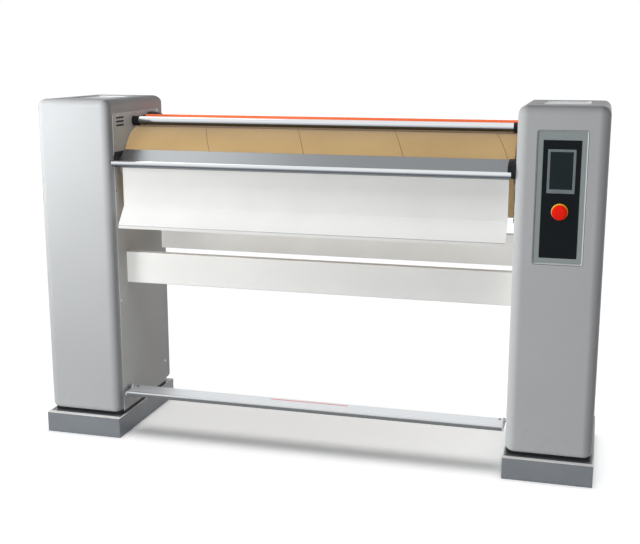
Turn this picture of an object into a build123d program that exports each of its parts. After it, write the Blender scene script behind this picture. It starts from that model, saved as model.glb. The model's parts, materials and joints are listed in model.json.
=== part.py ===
"""Flatwork ironer with one heated chest and one padded roll, in millimetres.

X runs along the roll (to the operator's right), Y to the back, Z up.  The origin is on
the floor, under the middle of the roll, half way between front and back.
"""

from build123d import *
from math import asin, cos, degrees, pi, radians, sin, sqrt
import os

# ---------------------------------------------------------------- driving dimensions
roll_length = 1200.0
roll_diameter = 250.0
roll_axis_z = 858.0
roll_end_gap = 10.0

pillar_width = 246.0
pillar_depth = 396.0
pillar_rise = 212.0
pillar_edge_radius = 28.0
pillar_back_radius = 6.0
pillar_top_radius = 24.0
pillar_bottom_radius = 18.0
shell_wall = 2.0

plinth_height = 64.0
plinth_side_overhang = 5.5
plinth_end_overhang = 18.5
plinth_wall = 3.0
base_pad_height = 11.0
base_pad_side_inset = 5.0
base_pad_end_inset = 21.0
base_pad_width = 14.0

side_margin = 30.0
panel_thickness = 2.0
panel_gap = 0.5
service_plate_height = 118.0
service_plate_drop = 42.0
shadow_gap = 4.0
side_frame_thickness = 4.0
side_frame_flange = 20.0
side_frame_foot = 88.0

slot_length = 57.0
slot_height = 6.0
slot_pitch = 11.5
slot_drop = 15.0
slot_centre_y = -114.5

tray_width = 132.0
tray_depth = 200.0
tray_centre_y = 15.0
tray_corner_radius = 12.0
tray_sink = 4.0
tray_lip = 8.0

crossbar_height = 100.0
crossbar_depth = 28.0
crossbar_wall = 2.0
front_crossbar_y = -92.0
front_crossbar_drop = 319.0
rear_crossbar_drop = 256.0
rear_crossbar_seat = 20.0

cover_thickness = 3.7
padding_thickness = 9.8
roll_tube_wall = 5.0
layer_gap = 0.2
journal_diameter = 40.0
journal_flange_thickness = 12.0
journal_hole_diameter = 60.0
bearing_flange = 110.0
bearing_flange_thickness = 10.0
bearing_boss_diameter = 80.0
bearing_width = 32.0
shaft_clearance = 0.05

chain_pitch = 15.875
chain_roller_diameter = 10.16
chain_links = 66
chain_plate_height = 13.0
chain_plate_thickness = 2.0
chain_plane_inset = 70.0
links_clear_of_teeth = 3
sprocket_width = 9.0
roll_sprocket_teeth = 36
motor_sprocket_teeth = 18
roll_sprocket_hub_diameter = 70.0
motor_sprocket_hub_diameter = 44.0
tooth_clearance = 0.28
plate_clearance = 0.6

gearbox_bracket_inset = 90.0
gearbox_bracket_thickness = 6.0
gearbox_width = 94.0
gearbox_depth = 104.0
gearbox_height = 130.0
gearbox_drop = 12.0
bracket_top_width = 200.0
bracket_bottom_width = 164.0
bracket_rise = 86.0
bracket_drop = 65.0
bracket_bolt_inset = 14.0
spacer_diameter = 18.0
output_shaft_diameter = 25.0
motor_diameter = 120.0
motor_length = 175.0
motor_offset_y = 20.0
motor_fins = 9
motor_fin_depth = 6.0

chest_thickness = 15.0
chest_roll_gap = 0.6
chest_low_angle = -25.0
chest_high_angle = 78.0
element_diameter = 9.0
element_angles = (-10.0, 8.0, 26.0, 44.0, 62.0)
insulation_thickness = 15.0
insulation_high_angle = 57.0
hood_front_y = 40.0
hood_rise = 157.5
hood_lip_height = 17.0
hood_shoulder_rise = 127.0
hood_drop = 123.0
hood_break_y = 160.0
hood_fall = 7.5
hood_rear_y = 190.0
hood_sheet = 2.0
rear_cover_return = 8.0
chest_arm_front_y = 30.0
chest_arm_waist_y = 105.0
chest_waist_drop = 68.0
chest_boss_radius = 22.0
chest_arm_thickness = 9.0
hood_cap_thickness = 11.0
hood_cap_gap = 2.0
hood_cap_rise = 4.5
hood_cap_flat = 16.0
hood_cap_front_y = 27.0
hood_cap_peak_y = 104.0
hood_cap_rear_overhang = 2.0
chest_pivot_y = 145.0
chest_pivot_drop = 158.0
chest_pivot_diameter = 16.0
chest_swing_deg = 5.0
press_pin_y = 130.0
press_pin_rise = 102.0
press_pin_diameter = 12.0
press_cylinder_diameter = 44.0
press_rod_diameter = 16.0
press_fork_thickness = 10.0
press_fork_length = 40.0
press_fork_height = 34.0
press_rod_exposed = 70.0
press_rod_inside = 60.0
press_cylinder_length = 150.0
press_saddle_width = 16.0

guard_bar_diameter = 25.0
guard_bar_wall = 1.5
guard_bar_y = -22.0
guard_bar_gap = 3.5
guard_pivot_drop = 9.5
guard_pivot_diameter = 8.0
guard_bracket_width = 22.0
guard_bracket_gap = 1.0

feed_rear_y = -117.0
feed_rear_rise = 57.5
feed_front_y = -171.0
feed_front_rise = 26.0
feed_flange_drop = 18.0
feed_web_height = 20.0
feed_sheet = 2.5
nose_radius = 9.0
nose_axis_y = -183.0
nose_drop = 6.0
feed_left_gap = 12.0
feed_right_gap = 23.0

apron_side_gap = 20.0
apron_sheet = 2.0
apron_y = -152.0
apron_top_gap = 4.0
apron_height = 117.0
apron_lip_y = -197.0
apron_lip_height = 56.0
apron_hem = 9.0

pedal_front_y = -172.0
pedal_depth = 75.0
pedal_top_z = 143.0
pedal_height = 16.0
pedal_wall = 3.0
pedal_end_gap = 8.0
pedal_end_plate = 4.0
pedal_pivot_y = -127.0
pedal_pivot_z = 146.0
pedal_pivot_diameter = 10.0

control_width = 138.0
control_height = 371.0
control_drop = 64.0
control_corner_radius = 8.0
control_recess = 4.0
control_plate_thickness = 6.0
control_plate_rim = 8.0
fascia_width = 102.0
fascia_drop = 27.5
fascia_height = 324.5
fascia_thickness = 2.0
bezel_width = 75.0
bezel_drop = 24.5
bezel_height = 120.0
bezel_frame = 7.0
bezel_lower_frame = 11.0
bezel_thickness = 2.0
glass_thickness = 1.2
estop_rise = 129.5
estop_collar_diameter = 49.0
estop_collar_thickness = 4.0
estop_head_diameter = 40.0
estop_head_height = 13.0
estop_head_proud = 22.0
estop_stem_diameter = 22.0
estop_pilot_diameter = 10.0
estop_travel = 4.5
estop_block_size = 40.0

control_box_height = 160.0
control_box_depth = 150.0
control_box_width = 74.0
control_box_z = 440.0
control_box_wall = 2.0
contactor_width = 42.0
contactor_gap = 4.0
contactor_height = 80.0
contactor_depth = 50.0
contactor_nose_width = 30.0
contactor_nose_height = 40.0
contactor_nose_depth = 14.0

gland_offset = 37.0
gland_z = 140.0
gland_window = 56.0
gland_plate_size = 80.0
gland_plate_thickness = 2.0
gland_thread_diameter = 22.0
gland_thread_length = 11.0
gland_across_flats = 28.0
gland_nut_height = 6.0
gland_hex_height = 7.0
gland_dome_diameter = 23.0
gland_dome_height = 9.0
gland_bore_diameter = 12.0

screw_head_diameter = 9.0
screw_head_height = 0.8
screw_shank_diameter = 4.0
screw_clearance = 0.2
screw_edge = 8.0
screw_drop = 6.5
upper_screw_y = -135.0
service_screw_drop = 103.0
panel_screw_heights = (148.0, 440.0, 790.0)
bolt_diameter = 10.0
bolt_across_flats = 16.0
bolt_head_height = 6.4
bolt_length = 20.0
bolt_setback = 58.0
bolt_spacing = 220.0

# ---------------------------------------------------------------- places worked out
half_gap = roll_length / 2 + roll_end_gap
pillar_outer_x = half_gap + pillar_width
pillar_centre_x = half_gap + pillar_width / 2
chain_plane_x = half_gap + chain_plane_inset
gearbox_bracket_x = half_gap + gearbox_bracket_inset
feed_left_x = feed_left_gap - half_gap
feed_right_x = half_gap - feed_right_gap
gland_x = pillar_centre_x + gland_offset
pillar_half_depth = pillar_depth / 2
pillar_bottom_z = plinth_height + base_pad_height
pillar_top_z = roll_axis_z + pillar_rise
service_plate_top_z = pillar_top_z - service_plate_drop
service_plate_bottom_z = service_plate_top_z - service_plate_height
slot_top_z = service_plate_top_z - slot_drop
front_crossbar_z = roll_axis_z - front_crossbar_drop
rear_crossbar_z = roll_axis_z - rear_crossbar_drop
panel_half_depth = pillar_half_depth - side_margin
frame_x = half_gap + panel_thickness
frame_back_x = frame_x + side_frame_thickness
frame_half_depth = panel_half_depth - 1.0
rear_crossbar_y = frame_half_depth + crossbar_depth / 2
rear_crossbar_half_length = frame_x + rear_crossbar_seat
roll_radius = roll_diameter / 2
roll_end_x = roll_length / 2
clear_of_roll = roll_radius + 6.0
slack = 0.3

chest_arm_x = half_gap - hood_cap_gap - hood_cap_thickness - chest_arm_thickness
hood_cap_x = chest_arm_x + chest_arm_thickness
hood_cap_outer_x = hood_cap_x + hood_cap_thickness
hood_front_top_z = roll_axis_z + hood_rise
hood_front_bottom_z = hood_front_top_z - hood_lip_height
hood_break_z = hood_front_top_z - hood_fall
hood_shoulder_z = roll_axis_z + hood_shoulder_rise
hood_bottom_z = roll_axis_z - hood_drop
chest_waist_z = roll_axis_z - chest_waist_drop
chest_pivot_z = roll_axis_z - chest_pivot_drop
press_pin_z = roll_axis_z + press_pin_rise
press_reach = press_pin_z - chest_pivot_z
press_travel = press_reach * sin(radians(chest_swing_deg))

guard_bracket_outer_x = half_gap - guard_bracket_gap
guard_bracket_x = guard_bracket_outer_x - guard_bracket_width
guard_bar_z = roll_axis_z + roll_radius + guard_bar_gap + guard_bar_diameter / 2
guard_pivot_z = guard_bar_z - guard_pivot_drop

feed_rear_z = roll_axis_z + feed_rear_rise
feed_front_z = roll_axis_z + feed_front_rise
nose_axis_z = feed_front_z - nose_drop
flange_z = feed_front_z - feed_flange_drop
apron_top_z = flange_z - apron_top_gap
apron_kink_z = apron_top_z - apron_height
apron_lip_z = apron_kink_z - apron_lip_height
apron_half_length = half_gap - apron_side_gap
pedal_half_length = half_gap - pedal_end_gap - pedal_end_plate

control_top_z = pillar_top_z - control_drop
control_bottom_z = control_top_z - control_height
fascia_top_z = control_top_z - fascia_drop
fascia_bottom_z = fascia_top_z - fascia_height
bezel_top_z = fascia_top_z - bezel_drop
bezel_bottom_z = bezel_top_z - bezel_height
estop_z = fascia_bottom_z + estop_rise

pillar_front_y = -pillar_half_depth
control_face_y = pillar_front_y + shell_wall + control_recess
fascia_face_y = control_face_y - fascia_thickness
collar_face_y = fascia_face_y - estop_collar_thickness
estop_front_y = fascia_face_y - estop_head_proud
estop_head_back_y = estop_front_y + estop_head_height
estop_block_y = control_face_y + control_plate_thickness - control_recess

screw_y = panel_half_depth - screw_edge
screw_row_z = service_plate_top_z - screw_drop
screw_places = [
    (upper_screw_y, screw_row_z),
    (screw_y, screw_row_z),
    (-screw_y, service_plate_top_z - service_screw_drop),
]
lower_screw_places = [(y, z) for y in (-screw_y, screw_y) for z in panel_screw_heights]
bolt_places = [(frame_x + bolt_setback, y) for y in (-bolt_spacing / 2, bolt_spacing / 2)]


def pitch_radius(teeth):
    """Radius of the circle on which the chain rollers sit."""
    return chain_pitch / (2 * sin(pi / teeth))


roll_pitch_radius = pitch_radius(roll_sprocket_teeth)
motor_pitch_radius = pitch_radius(motor_sprocket_teeth)
half_tooth_sum = (roll_sprocket_teeth + motor_sprocket_teeth) / 2
tooth_step = (roll_sprocket_teeth - motor_sprocket_teeth) / (2 * pi)
free_links = chain_links - half_tooth_sum
chain_centres = chain_pitch / 4 * (free_links + sqrt(free_links**2 - 8 * tooth_step**2))
motor_axis_z = roll_axis_z - chain_centres
wrap_angle = asin((roll_pitch_radius - motor_pitch_radius) / chain_centres)
gearbox_x = gearbox_bracket_x + gearbox_bracket_thickness
gearbox_centre_z = motor_axis_z - gearbox_drop
motor_centre_x = gearbox_x + gearbox_width / 2

pieces = {}


def keep(name, builder):
    """Label a finished piece and remember it for export."""
    builder.part.label = name
    pieces[name] = builder.part


def mirrored(name, right_part):
    """Make the left-hand copy of a right-hand piece."""
    with BuildPart() as left:
        mirror(right_part, about=Plane.YZ)
    keep(name, left)


def across(x):
    """Plane square to the roll at a distance x from the middle, drawn in (Y, Z)."""
    return Plane.YZ.offset(x)


def facing_front(y):
    """Plane at depth y that looks to the front, drawn in (X, Z)."""
    return Plane.XZ.offset(-y)


def rounded_column(inset, z_low, z_high):
    """Solid pillar with rounded edges, drawn in by inset on every side."""
    with BuildPart() as column:
        with BuildSketch(Plane.XY.offset(z_low)):
            with Locations((pillar_centre_x, 0)):
                outline = Rectangle(pillar_width - 2 * inset, pillar_depth - 2 * inset)
            corners = outline.vertices().group_by(Axis.Y)
            fillet(corners[0], radius=pillar_edge_radius - inset)
            fillet(corners[-1], radius=pillar_back_radius - inset)
        extrude(amount=z_high - z_low)
        fillet(column.edges().group_by(Axis.Z)[-1], radius=pillar_top_radius - inset)
        fillet(column.edges().group_by(Axis.Z)[0], radius=pillar_bottom_radius - inset)
    return column.part


def folded_sheet(x_low, x_high, points, thickness, bend_radius):
    """Sheet folded along points, its thickness to the left of the way they run."""
    with BuildPart() as sheet:
        with BuildSketch(across(x_low)):
            with BuildLine():
                FilletPolyline(*points, radius=bend_radius)
                offset(amount=thickness, side=Side.LEFT)
            make_face()
        extrude(amount=x_high - x_low)
    return sheet


def ring_band(inner_radius, outer_radius, low_angle, high_angle):
    """Outline of a band round the roll, angles counted from the back upwards."""
    span = high_angle - low_angle
    with BuildLine() as band:
        inner = CenterArc((0, roll_axis_z), inner_radius, low_angle, span)
        outer = CenterArc((0, roll_axis_z), outer_radius, low_angle, span)
        Line(inner @ 0, outer @ 0)
        Line(inner @ 1, outer @ 1)
    return band.edges()


# ---------------------------------------------------------------- plinths and pads
with BuildPart() as right_plinth:
    plinth_width = pillar_width + 2 * plinth_side_overhang
    plinth_depth = pillar_depth + 2 * plinth_end_overhang
    with BuildSketch():
        with Locations((pillar_centre_x, 0)):
            RectangleRounded(plinth_width, plinth_depth, 3.0)
    extrude(amount=plinth_height)
    fillet(right_plinth.edges().group_by(Axis.Z)[-1], radius=1.5)
    with BuildSketch():
        with Locations((pillar_centre_x, 0)):
            Rectangle(plinth_width - 2 * plinth_wall, plinth_depth - 2 * plinth_wall)
    extrude(amount=plinth_height - plinth_wall, mode=Mode.SUBTRACT)
    with BuildSketch(Plane.XY.offset(plinth_height - plinth_wall)):
        with Locations(*bolt_places):
            Circle(bolt_diameter / 2 + slack)
    extrude(amount=plinth_wall, mode=Mode.SUBTRACT)
keep("right_plinth", right_plinth)
mirrored("left_plinth", right_plinth.part)

with BuildPart() as base_pads:
    with BuildSketch(Plane.XY.offset(plinth_height)):
        with Locations((pillar_centre_x, 0)):
            outer_width = pillar_width - 2 * base_pad_side_inset
            outer_depth = pillar_depth - 2 * base_pad_end_inset
            RectangleRounded(outer_width, outer_depth, 8.0)
            RectangleRounded(
                outer_width - 2 * base_pad_width,
                outer_depth - 2 * base_pad_width,
                2.0,
                mode=Mode.SUBTRACT,
            )
        with Locations((frame_x, 0)):
            Rectangle(
                side_frame_foot + 2.0,
                outer_depth - 2 * base_pad_width,
                align=(Align.MIN, Align.CENTER),
                mode=Mode.SUBTRACT,
            )
    extrude(amount=base_pad_height)
    mirror(about=Plane.YZ)
keep("base_pads", base_pads)

# ---------------------------------------------------------------- side frames
foot_half_depth = pillar_half_depth - base_pad_end_inset - base_pad_width - 2.0
frame_top_z = service_plate_top_z - 2.0
press_slot_low_y = press_pin_y - press_pin_diameter / 2 - 2.0
press_slot_high_y = press_pin_y + press_travel + press_pin_diameter / 2 + 2.0
press_slot_height = press_pin_diameter + 5.0


def press_slot():
    """Sketch of the slot that the press pin travels in."""
    with Locations(((press_slot_low_y + press_slot_high_y) / 2, press_pin_z)):
        SlotOverall(press_slot_high_y - press_slot_low_y, press_slot_height)


with BuildPart() as right_side_frame:
    with BuildSketch(across(frame_x)):
        with Locations((0, plinth_height)):
            Rectangle(
                2 * foot_half_depth,
                pillar_bottom_z + pillar_bottom_radius - plinth_height,
                align=(Align.CENTER, Align.MIN),
            )
        with Locations((0, pillar_bottom_z + shell_wall + 1.0)):
            Rectangle(
                2 * frame_half_depth,
                frame_top_z - pillar_bottom_z - shell_wall - 1.0,
                align=(Align.CENTER, Align.MIN),
            )
        with Locations((0, roll_axis_z)):
            Circle(journal_hole_diameter / 2, mode=Mode.SUBTRACT)
        with Locations((chest_pivot_y, chest_pivot_z)):
            Circle(chest_pivot_diameter / 2 + shaft_clearance, mode=Mode.SUBTRACT)
        with Locations((guard_bar_y, guard_pivot_z)):
            Circle(guard_pivot_diameter / 2 + shaft_clearance, mode=Mode.SUBTRACT)
        with Locations((pedal_pivot_y, pedal_pivot_z)):
            Circle(pedal_pivot_diameter / 2 + shaft_clearance, mode=Mode.SUBTRACT)
        with Locations(*screw_places, *lower_screw_places):
            Circle(screw_shank_diameter / 2 + screw_clearance, mode=Mode.SUBTRACT)
    extrude(amount=side_frame_thickness)
    with BuildSketch(across(frame_x)):
        press_slot()
    extrude(amount=side_frame_thickness, mode=Mode.SUBTRACT)
    for flange_side in (-1, 1):
        flange_y = flange_side * (frame_half_depth - side_frame_thickness / 2)
        with BuildSketch(across(frame_x)):
            with Locations((flange_y, service_plate_bottom_z - shadow_gap)):
                Rectangle(
                    side_frame_thickness,
                    service_plate_bottom_z - 200.0,
                    align=(Align.CENTER, Align.MAX),
                )
        extrude(amount=side_frame_flange)
    with BuildSketch(Plane.XY.offset(plinth_height)):
        with Locations((frame_x, 0)):
            Rectangle(side_frame_foot, 2 * foot_half_depth, align=(Align.MIN, Align.CENTER))
        with Locations(*bolt_places):
            Circle(bolt_diameter / 2 + slack, mode=Mode.SUBTRACT)
    extrude(amount=side_frame_thickness)
keep("right_side_frame", right_side_frame)
mirrored("left_side_frame", right_side_frame.part)

# ---------------------------------------------------------------- pillar shells
with BuildPart() as pillar_shell:
    add(rounded_column(0.0, pillar_bottom_z, pillar_top_z))
    add(
        rounded_column(shell_wall, pillar_bottom_z + shell_wall, pillar_top_z - shell_wall),
        mode=Mode.SUBTRACT,
    )
    # opening on the roll side, closed by the inner panel and the service plate
    with BuildSketch(across(half_gap - 1.0)):
        with Locations((0, pillar_bottom_z - 1.0)):
            Rectangle(
                2 * panel_half_depth,
                service_plate_top_z - pillar_bottom_z + 1.0 + panel_gap,
                align=(Align.CENTER, Align.MIN),
            )
    extrude(amount=side_margin + 1.0, mode=Mode.SUBTRACT)
    # notch for the end of the rear crossbar
    with BuildSketch(across(half_gap - 1.0)):
        with Locations((rear_crossbar_y, rear_crossbar_z)):
            Rectangle(crossbar_depth + 1.0, crossbar_height + 1.0)
    extrude(amount=rear_crossbar_half_length + 0.5 - half_gap + 1.0, mode=Mode.SUBTRACT)
    # opening in the bottom, inside the flange that sits on the pad
    with BuildSketch(Plane.XY.offset(pillar_bottom_z)):
        with Locations((pillar_centre_x, 0)):
            RectangleRounded(
                pillar_width - 2 * side_margin, pillar_depth - 2 * side_margin, 4.0
            )
    extrude(amount=shell_wall, mode=Mode.SUBTRACT)
    # opening in the top for the tray
    with BuildSketch(Plane.XY.offset(pillar_top_z - shell_wall)):
        with Locations((pillar_centre_x, tray_centre_y)):
            RectangleRounded(tray_width, tray_depth, tray_corner_radius)
    extrude(amount=shell_wall, mode=Mode.SUBTRACT)
mirrored("left_shell", pillar_shell.part)

with BuildPart() as right_shell:
    add(pillar_shell.part)
    with BuildSketch(facing_front(pillar_front_y + shell_wall)):
        with Locations((pillar_centre_x, (control_bottom_z + control_top_z) / 2)):
            RectangleRounded(
                control_width, control_top_z - control_bottom_z, control_corner_radius
            )
    extrude(amount=shell_wall, mode=Mode.SUBTRACT)
    with BuildSketch(facing_front(pillar_half_depth)):
        with Locations((gland_x, gland_z)):
            RectangleRounded(gland_window, gland_window, 4.0)
    extrude(amount=shell_wall, mode=Mode.SUBTRACT)
keep("right_shell", right_shell)

with BuildPart() as right_top_tray:
    tray_floor_z = pillar_top_z - shell_wall - tray_sink
    with BuildSketch(Plane.XY.offset(tray_floor_z)):
        with Locations((pillar_centre_x, tray_centre_y)):
            RectangleRounded(
                tray_width + 2 * tray_lip, tray_depth + 2 * tray_lip, tray_corner_radius + tray_lip
            )
    extrude(amount=tray_sink)
    with BuildSketch(Plane.XY.offset(tray_floor_z + shell_wall)):
        with Locations((pillar_centre_x, tray_centre_y)):
            RectangleRounded(tray_width, tray_depth, tray_corner_radius)
    extrude(amount=tray_sink - shell_wall, mode=Mode.SUBTRACT)
keep("right_top_tray", right_top_tray)
mirrored("left_top_tray", right_top_tray.part)

# ---------------------------------------------------------------- inner panels
with BuildPart() as right_inner_panel:
    panel_bottom_z = pillar_bottom_z + 1.0
    panel_top_z = service_plate_bottom_z - shadow_gap
    with BuildSketch(across(half_gap)):
        with Locations((0, panel_bottom_z)):
            Rectangle(
                2 * (panel_half_depth - panel_gap),
                panel_top_z - panel_bottom_z,
                align=(Align.CENTER, Align.MIN),
            )
        with Locations((0, roll_axis_z)):
            Circle(journal_hole_diameter / 2, mode=Mode.SUBTRACT)
        with Locations((chest_pivot_y, chest_pivot_z)):
            Circle(chest_pivot_diameter / 2 + 1.0, mode=Mode.SUBTRACT)
        with Locations((pedal_pivot_y, pedal_pivot_z)):
            Circle(pedal_pivot_diameter / 2 + 1.0, mode=Mode.SUBTRACT)
        with Locations((rear_crossbar_y, rear_crossbar_z)):
            Rectangle(crossbar_depth + 1.0, crossbar_height + 1.0, mode=Mode.SUBTRACT)
        with Locations(*lower_screw_places):
            Circle(screw_shank_diameter / 2 + screw_clearance, mode=Mode.SUBTRACT)
    extrude(amount=panel_thickness)
keep("right_inner_panel", right_inner_panel)
mirrored("left_inner_panel", right_inner_panel.part)

with BuildPart() as right_service_plate:
    with BuildSketch(across(half_gap)):
        with Locations((0, service_plate_bottom_z)):
            Rectangle(
                2 * (panel_half_depth - panel_gap),
                service_plate_top_z - service_plate_bottom_z,
                align=(Align.CENTER, Align.MIN),
            )
        with Locations(*[(slot_centre_y, slot_top_z - n * slot_pitch) for n in range(3)]):
            SlotOverall(slot_length, slot_height, mode=Mode.SUBTRACT)
        with Locations((guard_bar_y, guard_pivot_z)):
            Circle(guard_pivot_diameter / 2 + 1.0, mode=Mode.SUBTRACT)
        with Locations(*screw_places):
            Circle(screw_shank_diameter / 2 + screw_clearance, mode=Mode.SUBTRACT)
    extrude(amount=panel_thickness)
    with BuildSketch(across(half_gap)):
        press_slot()
    extrude(amount=panel_thickness, mode=Mode.SUBTRACT)
keep("right_service_plate", right_service_plate)
mirrored("left_service_plate", right_service_plate.part)

with BuildPart() as panel_screws:
    with BuildSketch(across(half_gap - screw_head_height)):
        with Locations(*screw_places, *lower_screw_places):
            Circle(screw_head_diameter / 2)
    extrude(amount=screw_head_height)
    with BuildSketch(across(half_gap)):
        with Locations(*screw_places, *lower_screw_places):
            Circle(screw_shank_diameter / 2)
    extrude(amount=panel_thickness + side_frame_thickness + 4.0)
    mirror(about=Plane.YZ)
keep("panel_screws", panel_screws)

with BuildPart() as frame_bolts:
    shank_top_z = plinth_height + side_frame_thickness
    with BuildSketch(Plane.XY.offset(shank_top_z - bolt_length)):
        with Locations(*bolt_places):
            Circle(bolt_diameter / 2)
    extrude(amount=bolt_length)
    with BuildSketch(Plane.XY.offset(shank_top_z)):
        with Locations(*bolt_places):
            RegularPolygon(bolt_across_flats / 2, 6, major_radius=False)
    extrude(amount=bolt_head_height)
    mirror(about=Plane.YZ)
keep("frame_bolts", frame_bolts)


# ---------------------------------------------------------------- crossbars
def crossbar(half_length, centre_y, centre_z):
    """Rectangular steel tube between the two pillars."""
    with BuildPart() as bar:
        with BuildSketch(across(-half_length)):
            with Locations((centre_y, centre_z)):
                RectangleRounded(crossbar_depth, crossbar_height, 3.0)
                RectangleRounded(
                    crossbar_depth - 2 * crossbar_wall,
                    crossbar_height - 2 * crossbar_wall,
                    1.0,
                    mode=Mode.SUBTRACT,
                )
        extrude(amount=2 * half_length)
    return bar


keep("front_crossbar", crossbar(half_gap, front_crossbar_y, front_crossbar_z))
keep("rear_crossbar", crossbar(rear_crossbar_half_length, rear_crossbar_y, rear_crossbar_z))

# ---------------------------------------------------------------- roll
cover_inner_radius = roll_radius - cover_thickness
padding_outer_radius = cover_inner_radius - layer_gap
padding_inner_radius = padding_outer_radius - padding_thickness
tube_radius = padding_inner_radius - layer_gap
tube_inner_radius = tube_radius - roll_tube_wall
tube_half_length = roll_end_x - 2.0


def tube_along_roll(half_length, outer, inner):
    """Tube on the roll's axis, centred on the machine."""
    with BuildPart() as tube:
        with BuildSketch(across(-half_length)):
            with Locations((0, roll_axis_z)):
                Circle(outer)
                Circle(inner, mode=Mode.SUBTRACT)
        extrude(amount=2 * half_length)
    return tube


keep("roll_tube", tube_along_roll(tube_half_length, tube_radius, tube_inner_radius))
keep(
    "roll_padding",
    tube_along_roll(tube_half_length - 0.5, padding_outer_radius, padding_inner_radius),
)

with BuildPart() as roll_cover:
    hem_inner_radius = tube_radius - 3.0
    with BuildSketch(across(-roll_end_x)):
        with Locations((0, roll_axis_z)):
            Circle(roll_radius)
    extrude(amount=roll_length)
    fillet(roll_cover.edges().filter_by(GeomType.CIRCLE), radius=3.0)
    with BuildSketch(across(-tube_half_length)):
        with Locations((0, roll_axis_z)):
            Circle(cover_inner_radius)
    extrude(amount=2 * tube_half_length, mode=Mode.SUBTRACT)
    with BuildSketch(across(-roll_end_x)):
        with Locations((0, roll_axis_z)):
            Circle(hem_inner_radius)
    extrude(amount=roll_length, mode=Mode.SUBTRACT)
keep("roll_cover", roll_cover)


def roll_journal(outer_x):
    """End flange of the roll with the journal that runs in the bearing."""
    flange_x = tube_half_length - journal_flange_thickness
    with BuildPart() as journal:
        with BuildSketch(across(flange_x)):
            with Locations((0, roll_axis_z)):
                Circle(tube_inner_radius - 0.1)
                with PolarLocations(tube_inner_radius * 0.62, 6):
                    Circle(18.0, mode=Mode.SUBTRACT)
        extrude(amount=journal_flange_thickness)
        with BuildSketch(across(flange_x)):
            with Locations((0, roll_axis_z)):
                Circle(journal_diameter / 2)
        extrude(amount=outer_x - flange_x)
        chamfer(journal.faces().sort_by(Axis.X)[-1].edges(), length=1.5)
    return journal


bearing_outer_x = frame_back_x + bearing_width
keep("right_roll_journal", roll_journal(bearing_outer_x + 8.0))
mirrored("left_roll_journal", roll_journal(gearbox_bracket_x - 2.0).part)

with BuildPart() as right_roll_bearing:
    with BuildSketch(across(frame_back_x)):
        with Locations((0, roll_axis_z)):
            RectangleRounded(bearing_flange, bearing_flange, 14.0)
            with GridLocations(bearing_flange - 26.0, bearing_flange - 26.0, 2, 2):
                Circle(6.0, mode=Mode.SUBTRACT)
    extrude(amount=bearing_flange_thickness)
    with BuildSketch(across(frame_back_x)):
        with Locations((0, roll_axis_z)):
            Circle(bearing_boss_diameter / 2)
    extrude(amount=bearing_width)
    fillet(right_roll_bearing.faces().sort_by(Axis.X)[-1].edges(), radius=4.0)
    with BuildSketch(across(frame_back_x)):
        with Locations((0, roll_axis_z)):
            Circle(journal_diameter / 2 + shaft_clearance)
    extrude(amount=bearing_width, mode=Mode.SUBTRACT)
keep("right_roll_bearing", right_roll_bearing)
mirrored("left_roll_bearing", right_roll_bearing.part)


# ---------------------------------------------------------------- chain drive
def sprocket_blank(teeth, centre_z, first_seat_deg):
    """Sketch of a chain sprocket: a disc with a seat for each roller."""
    seat_radius = chain_roller_diameter / 2 + 0.2
    radius = pitch_radius(teeth)
    tip_radius = chain_pitch * (0.6 * sin(pi / teeth) + cos(pi / teeth)) / (2 * sin(pi / teeth))
    flare = 7.0
    with Locations((0, centre_z)):
        Circle(tip_radius)
        with PolarLocations(radius, teeth, start_angle=first_seat_deg):
            Circle(seat_radius, mode=Mode.SUBTRACT)
            Polygon(
                (0, -seat_radius),
                (flare, -seat_radius - 1.6),
                (flare, seat_radius + 1.6),
                (0, seat_radius),
                align=None,
                mode=Mode.SUBTRACT,
            )


sprocket_x = chain_plane_x - sprocket_width / 2

with BuildPart() as roll_sprocket_right:
    with BuildSketch(across(sprocket_x)):
        sprocket_blank(roll_sprocket_teeth, roll_axis_z, 90.0)
        with Locations((0, roll_axis_z)):
            with PolarLocations(roll_pitch_radius * 0.66, 5):
                Circle(15.0, mode=Mode.SUBTRACT)
    extrude(amount=sprocket_width)
    with BuildSketch(across(bearing_outer_x + 2.0)):
        with Locations((0, roll_axis_z)):
            Circle(roll_sprocket_hub_diameter / 2)
    extrude(amount=sprocket_x - bearing_outer_x - 2.0)
    with BuildSketch(across(bearing_outer_x + 2.0)):
        with Locations((0, roll_axis_z)):
            Circle(journal_diameter / 2 + shaft_clearance)
    extrude(amount=sprocket_x + sprocket_width - bearing_outer_x, mode=Mode.SUBTRACT)
mirrored("roll_sprocket", roll_sprocket_right.part)

with BuildPart() as motor_sprocket_right:
    with BuildSketch(across(sprocket_x)):
        sprocket_blank(motor_sprocket_teeth, motor_axis_z, -90.0)
    extrude(amount=sprocket_width)
    with BuildSketch(across(sprocket_x + sprocket_width)):
        with Locations((0, motor_axis_z)):
            Circle(motor_sprocket_hub_diameter / 2)
    extrude(amount=gearbox_bracket_x - 1.0 - sprocket_x - sprocket_width)
    with BuildSketch(across(sprocket_x - 12.0)):
        with Locations((0, motor_axis_z)):
            Circle(output_shaft_diameter / 2)
    extrude(amount=gearbox_x + 30.0 - sprocket_x + 12.0)
mirrored("motor_sprocket", motor_sprocket_right.part)


def chain_loop(offset_from_pitch):
    """Outline of the chain's path, moved outwards by the offset."""
    big = roll_pitch_radius + offset_from_pitch
    small = motor_pitch_radius + offset_from_pitch
    out_y, out_z = cos(wrap_angle), -sin(wrap_angle)
    big_back = (big * out_y, roll_axis_z + big * out_z)
    big_front = (-big * out_y, roll_axis_z + big * out_z)
    small_back = (small * out_y, motor_axis_z + small * out_z)
    small_front = (-small * out_y, motor_axis_z + small * out_z)
    with BuildLine() as loop:
        Line(small_back, big_back)
        ThreePointArc(big_back, (0, roll_axis_z + big), big_front)
        Line(big_front, small_front)
        ThreePointArc(small_front, (0, motor_axis_z - small), small_back)
    return loop.edges()


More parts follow.
